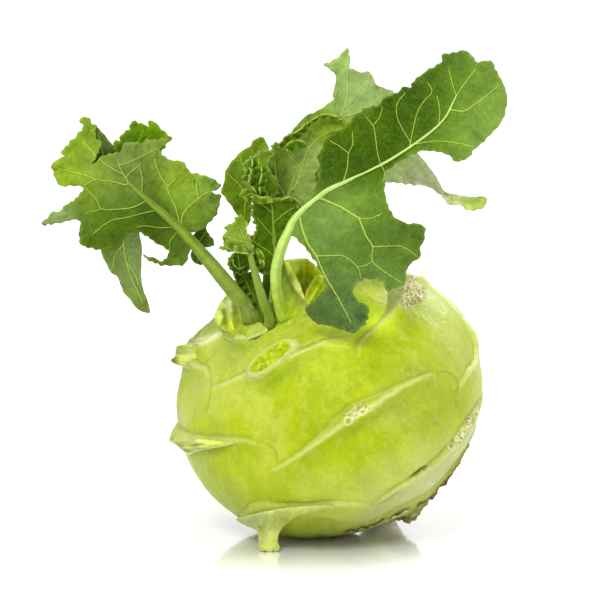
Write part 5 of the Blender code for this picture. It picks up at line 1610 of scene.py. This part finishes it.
def add_collars(own, near_crown):
    """Low rims of flesh that hold the foot of every leaf, and where shade is painted in the creases inside
    them.
    """
    rise, crease = np.zeros(len(own)), np.zeros(len(own))
    for leaf in LEAVES.values():
        across, back, radius = leaf["foot"]
        radius = radius * leaf.get("slim", 1.0)
        gap = np.hypot(own[:, 0] - across, own[:, 1] - back) + 0.5 * cells(own, 2.4, across)
        rise = np.maximum(rise, 2.2 * np.exp(-((gap - radius - 1.3) / 1.3) ** 2))
        crease = np.maximum(crease, np.exp(-((gap - radius - 0.1) / 0.45) ** 2))
    own[:, 2] += rise * near_crown
    return rise * near_crown, crease * near_crown


def add_flaps():
    """The torn and cut pieces of stalk bases, as one object."""
    parts = []
    for number, flap in enumerate(FLAPS):
        plan = dict(ruffle=0.15, roll=0.25, quilt=0.0, teeth=0.2, vein_spacing=3.0, grid=0.45, relief=0.3,
                    other=flap["paint"][0][2])
        plan.update(flap)
        parts.append(make_sheet(plan, (), flap["midrib"], 40.3 + 2.9 * number))
    points, faces, paint, _ = joined(parts)
    points[:, 2] = np.maximum(points[:, 2], 0.0)
    return add_mesh("flaps", points, faces, paint, depth=SKIN_DEPTH)


def flatten_modifiers(thing):
    """Turns an object's modifiers into its mesh."""
    graph = bpy.context.evaluated_depsgraph_get()
    graph.update()
    mesh = bpy.data.meshes.new_from_object(thing.evaluated_get(graph))
    thing.modifiers.clear()
    thing.data = mesh


def make_ball():
    """The plain ball with its crown and root cut flat, as a fine mesh."""
    bpy.ops.mesh.primitive_cube_add(size=2)
    body = bpy.context.object
    finer = body.modifiers.new("finer", "SUBSURF")
    finer.subdivision_type = "SIMPLE"
    finer.levels = finer.render_levels = BALL_CUTS - 1
    flatten_modifiers(body)
    cube = np.empty(len(body.data.vertices) * 3)
    body.data.vertices.foreach_get("co", cube)
    cube = np.tan(cube.reshape(-1, 3) * math.pi / 4)
    ball = cube / np.linalg.norm(cube, axis=1, keepdims=True)
    ball = ball * np.array([BULB_RADIUS, BULB_RADIUS, BULB_HALF_HEIGHT])
    ball[:, 2] = np.clip(ball[:, 2], ROOT_LEVEL, CROWN_LEVEL)
    body.data.vertices.foreach_set("co", ((ball @ BULB_FRAME + BULB_CENTRE) * MM).ravel())
    return body


def make_skin_body():
    """The ball and its cut stalks, fused into one fine closed mesh."""
    body = make_ball()
    extras = []
    for number, stalk in enumerate(CUT_STALKS):
        route = smooth_line(stalk["route"], 1.5)
        facing = stalk.get("thin", (0.3, -1, 0.2))
        points, faces = tube(route[:, :3], route[:, 3], 24, flat=stalk["flat"], groove_side=facing)
        extras.append(add_mesh(f"cut_stalk_{number}", points, faces, np.ones((len(points), 3))))
    bpy.ops.object.select_all(action="DESELECT")
    for thing in extras + [body]:
        thing.select_set(True)
    bpy.context.view_layer.objects.active = body
    bpy.ops.object.join()
    fuse = body.modifiers.new("fuse", "REMESH")
    fuse.mode = "VOXEL"
    fuse.voxel_size = SKIN_VOXEL * MM
    soften = body.modifiers.new("soften", "SMOOTH")
    soften.factor = 0.5
    soften.iterations = 4
    flatten_modifiers(body)
    return body


def stalk_shares(points):
    """How much each point belongs to the side and to the cut end of every short stalk."""
    for stalk in CUT_STALKS:
        route = smooth_line(stalk["route"], 1.0)
        tip, ahead = route[-1, :3], route[-1, :3] - route[-2, :3]
        reach = np.linalg.norm(points[:, None] - route[None, :, :3], axis=2) / route[None, :, 3]
        side = 1 - ramp(reach.min(axis=1), 1.05, 1.5)
        end = side * ramp((points - tip) @ ahead / np.linalg.norm(ahead), -0.9, 0.0)
        yield stalk, side, end


def cut_root(points):
    """Presses the skin flat where the root was cut, and says where the cut and its rim are."""
    past = (points - ROOT_PLACE) @ ROOT_FACING + 0.5 * cells(points, 2.4, 31.0) + 0.3 * cells(points, 0.9,
                                                                                              32.0)
    press = np.maximum(past, 0)
    face = ramp(past, 0.3, 1.2)
    rim = np.exp(-((past + 0.3) / (0.6 + 0.3 * cells(points, 4.0, 36.0))) ** 2)
    hollow = face * (0.6 + 0.5 * cells(points, 3.0, 33.0))
    points = points - ((press + hollow)[:, None] - 0.6 * rim[:, None]) * ROOT_FACING
    return points, face, rim


def bulb_paint(points, ball, clear, masks, root_face, root_rim, collar, foot_shade):
    """Colours of the stem at every point, from its masks."""
    rise = np.degrees(np.arcsin(np.clip(ball[:, 2] / BULB_HALF_HEIGHT, -1, 1)))
    paint = np.tile((0.70, 0.77, 0.05), (len(points), 1))

    def tint(colour, amount):
        share = np.clip(amount, 0, 1)[:, None]
        paint[:] = paint * (1 - share) + np.array(colour) * share

    patches = cells(ball, 18.0, 3.0) + 0.25 * cells(ball, 6.0, 13.0)
    streaks = cells(ball * [1, 1, 0.22], 2.6, 8.0)
    tint((0.78, 0.82, 0.36), 0.7 * ramp(patches, -0.1, 0.6))
    tint((0.62, 0.70, 0.03), 0.7 * ramp(-patches, 0.0, 0.6))
    tint((0.71, 0.76, 0.40), ramp(-rise, 0, 40) * 0.8)
    tint((0.76, 0.81, 0.40), ramp(rise, 50, 75) * 0.45)
    tint((0.76, 0.80, 0.38), 0.3 * ramp(streaks, 0.0, 0.45))
    tint((0.62, 0.70, 0.06), 0.25 * ramp(-streaks, 0.1, 0.5))
    tint((0.62, 0.71, 0.04), 0.35 * ramp(cells(ball, 9.0, 17.0), 0.4, 0.7))
    # Broad areas of colour, the first three of them painted light
    for turn, height, reach, colour, amount in SKIN_TONE_AND_LIGHT_AREAS:
        gap = np.linalg.norm(ball - ball_points(turn, height), axis=1)
        tint(colour, amount * (1 - ramp(gap, 0.5 * reach, 1.4 * reach)))
    # Painted highlight along the ridges on the shoulders
    for band in HIGHLIGHT_RIDGES:
        from_band, past_band, _ = beside(ball, band)
        tint((1.0, 1.0, 0.80), 0.95 * np.exp(-(from_band / 1.7) ** 2 - (past_band / 3.0) ** 2))
    tint((0.75, 0.78, 0.50), masks["below"] * 0.8)
    tint((0.52, 0.62, 0.12), masks["shade"] * 0.5)
    tint(PALE_SKIN, masks["ledge"] * 0.75)
    tint((0.60, 0.70, 0.04), masks["green"] * 0.8)
    # The rim mask: painted highlight along the scar ledges' edges, and the pale rims of the cut faces
    tint((0.84, 0.87, 0.56), masks["rim"] * 0.8)
    # The seam mask: painted shade in the creases of the scars and along the seams
    tint((0.50, 0.57, 0.16), masks["seam"] * 0.6)
    tint((0.72, 0.75, 0.42), masks["cork"] * 0.8)
    loops = np.abs(cells(ball, 2.0, 41.0) + 0.4 * cells(ball, 0.9, 42.0))
    tint((0.42, 0.36, 0.12), masks["cork"] * (1 - ramp(loops, 0.16, 0.30)) * 0.8)
    tint((1.0, 0.97, 0.82), masks["cork"] * (1 - ramp(loops, 0.05, 0.13)))
    for turn, height, size in CORK_RINGS:
        gap = np.linalg.norm(ball - ball_points(turn, height), axis=1) + 0.25 * cells(ball, 0.8, 47.0)
        tint((0.60, 0.66, 0.20), 1 - ramp(gap, 0.5 * size, size))
        tint((0.92, 0.90, 0.72), np.exp(-((gap - size) / 0.26) ** 2))
    tint((0.70, 0.80, 0.02), masks["cut"])
    tint((0.84, 0.92, 0.14), masks["cut"] * ramp(cells(ball, 1.3, 24.0), 0.0, 0.35) * 0.8)
    tint((0.56, 0.66, 0.01), masks["cut"] * ramp(-cells(ball, 1.0, 25.0), 0.1, 0.4) * 0.7)
    tint((0.34, 0.32, 0.05), ramp(masks["slit"], 0.25, 0.7) * 0.9)
    threads = cells(ball * [1, 1, 3.0], 5.0, 43.0) + 0.35 * cells(ball, 1.5, 44.0)
    tint((0.58, 0.58, 0.18), masks["torn"] * 0.9)
    tint((0.26, 0.16, 0.01), ramp(masks["torn"], 0.25, 0.6) * ramp(threads, -0.3, -0.05) * 0.9)
    tint((0.62, 0.74, 0.10), collar * 0.25)
    tint((0.30, 0.38, 0.05), foot_shade * 0.75)
    for stalk, side, end in stalk_shares(points):
        outside = ramp(clear, 0.4, 1.4)
        grain = 1 + 0.10 * cells(points * [1, 1, 0.3], 0.9, 51.0)
        tint(np.array(stalk["side"]), side * outside * 0.9)
        tint(np.array(stalk["end"]), end * outside)
        paint[:] = paint * (1 + (grain[:, None] - 1) * (side * outside)[:, None])
    fibre = ramp(cells(points * [1, 0.4, 1], 1.6, 34.0), -0.1, 0.4)
    tint((0.46, 0.35, 0.05), root_rim ** 4)
    tint((0.24, 0.14, 0.01), root_rim ** 3 * fibre)
    tint((0.66, 0.62, 0.38), root_face * 0.9)
    tint((0.42, 0.32, 0.14), root_face * fibre * 0.7)
    # Brown near the floor: partly the root end's own colour and partly painted contact shade where the bulb
    # meets the floor
    low = 1 - ramp(points[:, 2], 0.4, 4.0)
    tint((0.36, 0.30, 0.08), low * ramp(points[:, 0], -6, 4) * ramp(cells(points, 3.0, 35.0), -0.4,
                                                                    0.3) * 0.8)
    return paint


def make_bulb():
    body = make_skin_body()
    mesh = body.data
    points = np.empty(len(mesh.vertices) * 3)
    mesh.vertices.foreach_get("co", points)
    points = points.reshape(-1, 3) / MM
    own = (points - BULB_CENTRE) @ BULB_FRAME.T
    level = np.linalg.norm(own / np.array([BULB_RADIUS, BULB_RADIUS, BULB_HALF_HEIGHT]), axis=1)
    ball = own / level[:, None]
    clear = (level - 1) * np.linalg.norm(ball, axis=1)
    near_skin = np.exp(-(np.maximum(clear, 0) / 1.2) ** 2)
    lift, masks = skin_shape(ball)
    masks = {key: mask * near_skin for key, mask in masks.items()}
    lift += 0.8 * cells(ball, 26.0, 1.0) + 0.3 * cells(ball, 8.0, 5.0) + 0.05 * cells(ball, 1.4, 7.0)
    dent = np.linalg.norm(ball - ball_points(-16, -25), axis=1)
    lift -= 2.8 * np.exp(-(dent / 6.5) ** 2)
    for band in HIGHLIGHT_RIDGES:
        from_band, past_band, _ = beside(ball, band)
        lift += 0.7 * np.exp(-(from_band / 1.8) ** 2 - (past_band / 3.0) ** 2)
    for turn, rise, height, reach in SWELLINGS:
        lift += height * np.exp(-(np.linalg.norm(ball - ball_points(turn, rise), axis=1) / reach) ** 2)
    pits = masks["cork"] * (0.35 * cells(ball, 0.9, 11.0) + 0.3 * cells(ball, 2.0, 12.0))
    ragged = (0.22 * cells(points, 1.3, 14.0) + 0.4 * cells(points * [1, 1, 0.25], 1.1,
                                                            15.0)) * ramp(clear, 0.6, 2.0)
    lift += masks["torn"] * (0.5 + 0.9 * cells(ball, 1.6, 16.0))
    collar, foot_shade = add_collars(own, near_skin * ramp(own[:, 2], 31, 34))
    own = own + ball_normals(ball) * (near_skin * lift + pits + ragged)[:, None]
    points, root_face, root_rim = cut_root(own @ BULB_FRAME + BULB_CENTRE)
    points[:, 2] = np.maximum(points[:, 2], 0.0)
    mesh.vertices.foreach_set("co", (points * MM).ravel())

    paint = bulb_paint(points, ball, clear, masks, root_face, root_rim, collar, foot_shade)
    colour = linear(np.clip(paint, 0, 1)) * SKIN_DEPTH
    colours = mesh.attributes.new("paint", "FLOAT_COLOR", "POINT")
    colours.data.foreach_set("color", np.c_[colour, np.ones(len(points))].ravel())
    cork = mesh.attributes.new("cork", "FLOAT", "POINT")
    rough = np.clip(masks["cork"] + 0.15 * root_rim + 0.5 * root_face, 0, 1)
    cork.data.foreach_set("value", rough.astype(np.float32))
    mesh.shade_smooth()
    mesh.materials.clear()
    mesh.materials.append(skin_material())
    flaps = add_flaps()
    flaps.data.materials.append(mesh.materials[0])
    bpy.ops.object.select_all(action="DESELECT")
    flaps.select_set(True)
    body.select_set(True)
    bpy.context.view_layer.objects.active = body
    bpy.ops.object.join()
    body.name = "bulb_look"
    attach(body, "root")
    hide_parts("bulb")
    return body


# ---------------------------------------------------------------- studio

VIEW_LEAN = math.radians(10)
VIEW_DISTANCE = 2.2
FRAME_HEIGHT = 0.1821
SENSOR = 36.0


def add_camera():
    aim = Vector((-1.1, 0.0, 68.6)) * MM
    camera = bpy.data.objects.new("camera", bpy.data.cameras.new("camera"))
    bpy.context.scene.collection.objects.link(camera)
    camera.location = aim - VIEW_DISTANCE * Vector((0, math.cos(VIEW_LEAN), -math.sin(VIEW_LEAN)))
    camera.rotation_euler = (math.pi / 2 - VIEW_LEAN, 0, 0)
    camera.data.sensor_width = SENSOR
    camera.data.lens = SENSOR * VIEW_DISTANCE / FRAME_HEIGHT
    bpy.context.scene.camera = camera


def add_softbox(name, place, aim, size, power):
    light = bpy.data.lights.new(name, "AREA")
    light.shape = "RECTANGLE"
    light.size, light.size_y = size
    light.energy = power
    thing = bpy.data.objects.new(name, light)
    bpy.context.scene.collection.objects.link(thing)
    thing.location = place
    thing.rotation_euler = (Vector(aim) - Vector(place)).to_track_quat("-Z", "Y").to_euler()


def add_studio():
    world = bpy.data.worlds.new("studio")
    world.use_nodes = True
    world.node_tree.nodes["Background"].inputs["Color"].default_value = (1, 1, 1, 1)
    world.node_tree.nodes["Background"].inputs["Strength"].default_value = 1.0
    bpy.context.scene.world = world
    add_softbox("key", (-0.25, -0.65, 0.80), (0, 0, 0.05), (0.35, 0.35), 7.5)
    add_softbox("side", (0.80, -0.25, 0.40), (0, 0, 0.04), (0.4, 0.4), 1.3)
    add_softbox("rim", (0.40, 0.60, 0.55), (0, 0, 0.06), (0.4, 0.4), 4.0)

    floor_mesh = bpy.data.meshes.new("floor")
    reach = 6.0
    floor_mesh.from_pydata([(-reach, -reach, 0), (reach, -reach, 0), (reach, reach, 0), (-reach, reach, 0)],
                           [], [(0, 1, 2, 3)])
    floor = bpy.data.objects.new("floor", floor_mesh)
    bpy.context.scene.collection.objects.link(floor)
    n = Nodes("floor_white")
    n.shader.inputs["Base Color"].default_value = (0.95, 0.95, 0.95, 1)
    n.shader.inputs["Roughness"].default_value = 0.10
    from_middle = n.add("ShaderNodeVectorMath", operation="LENGTH")
    n.link(n.place(), from_middle.inputs[0])
    n.link(n.remap(from_middle.outputs["Value"], 0.025, 0.066, 0.5, 0.0), n.shader.inputs["Metallic"])
    n.link(n.remap(from_middle.outputs["Value"], 0.030, 0.075, 0.6, 0.1),
           n.shader.inputs["Specular IOR Level"])
    floor_mesh.materials.append(n.material)


add_camera()
add_studio()
make_bulb()
for place_in_list, (leaf_name, leaf_plan) in enumerate(LEAVES.items()):
    make_leaf(leaf_name, leaf_plan, place_in_list)

bpy.context.scene.view_settings.view_transform = "Standard"
bpy.context.view_layer.update()
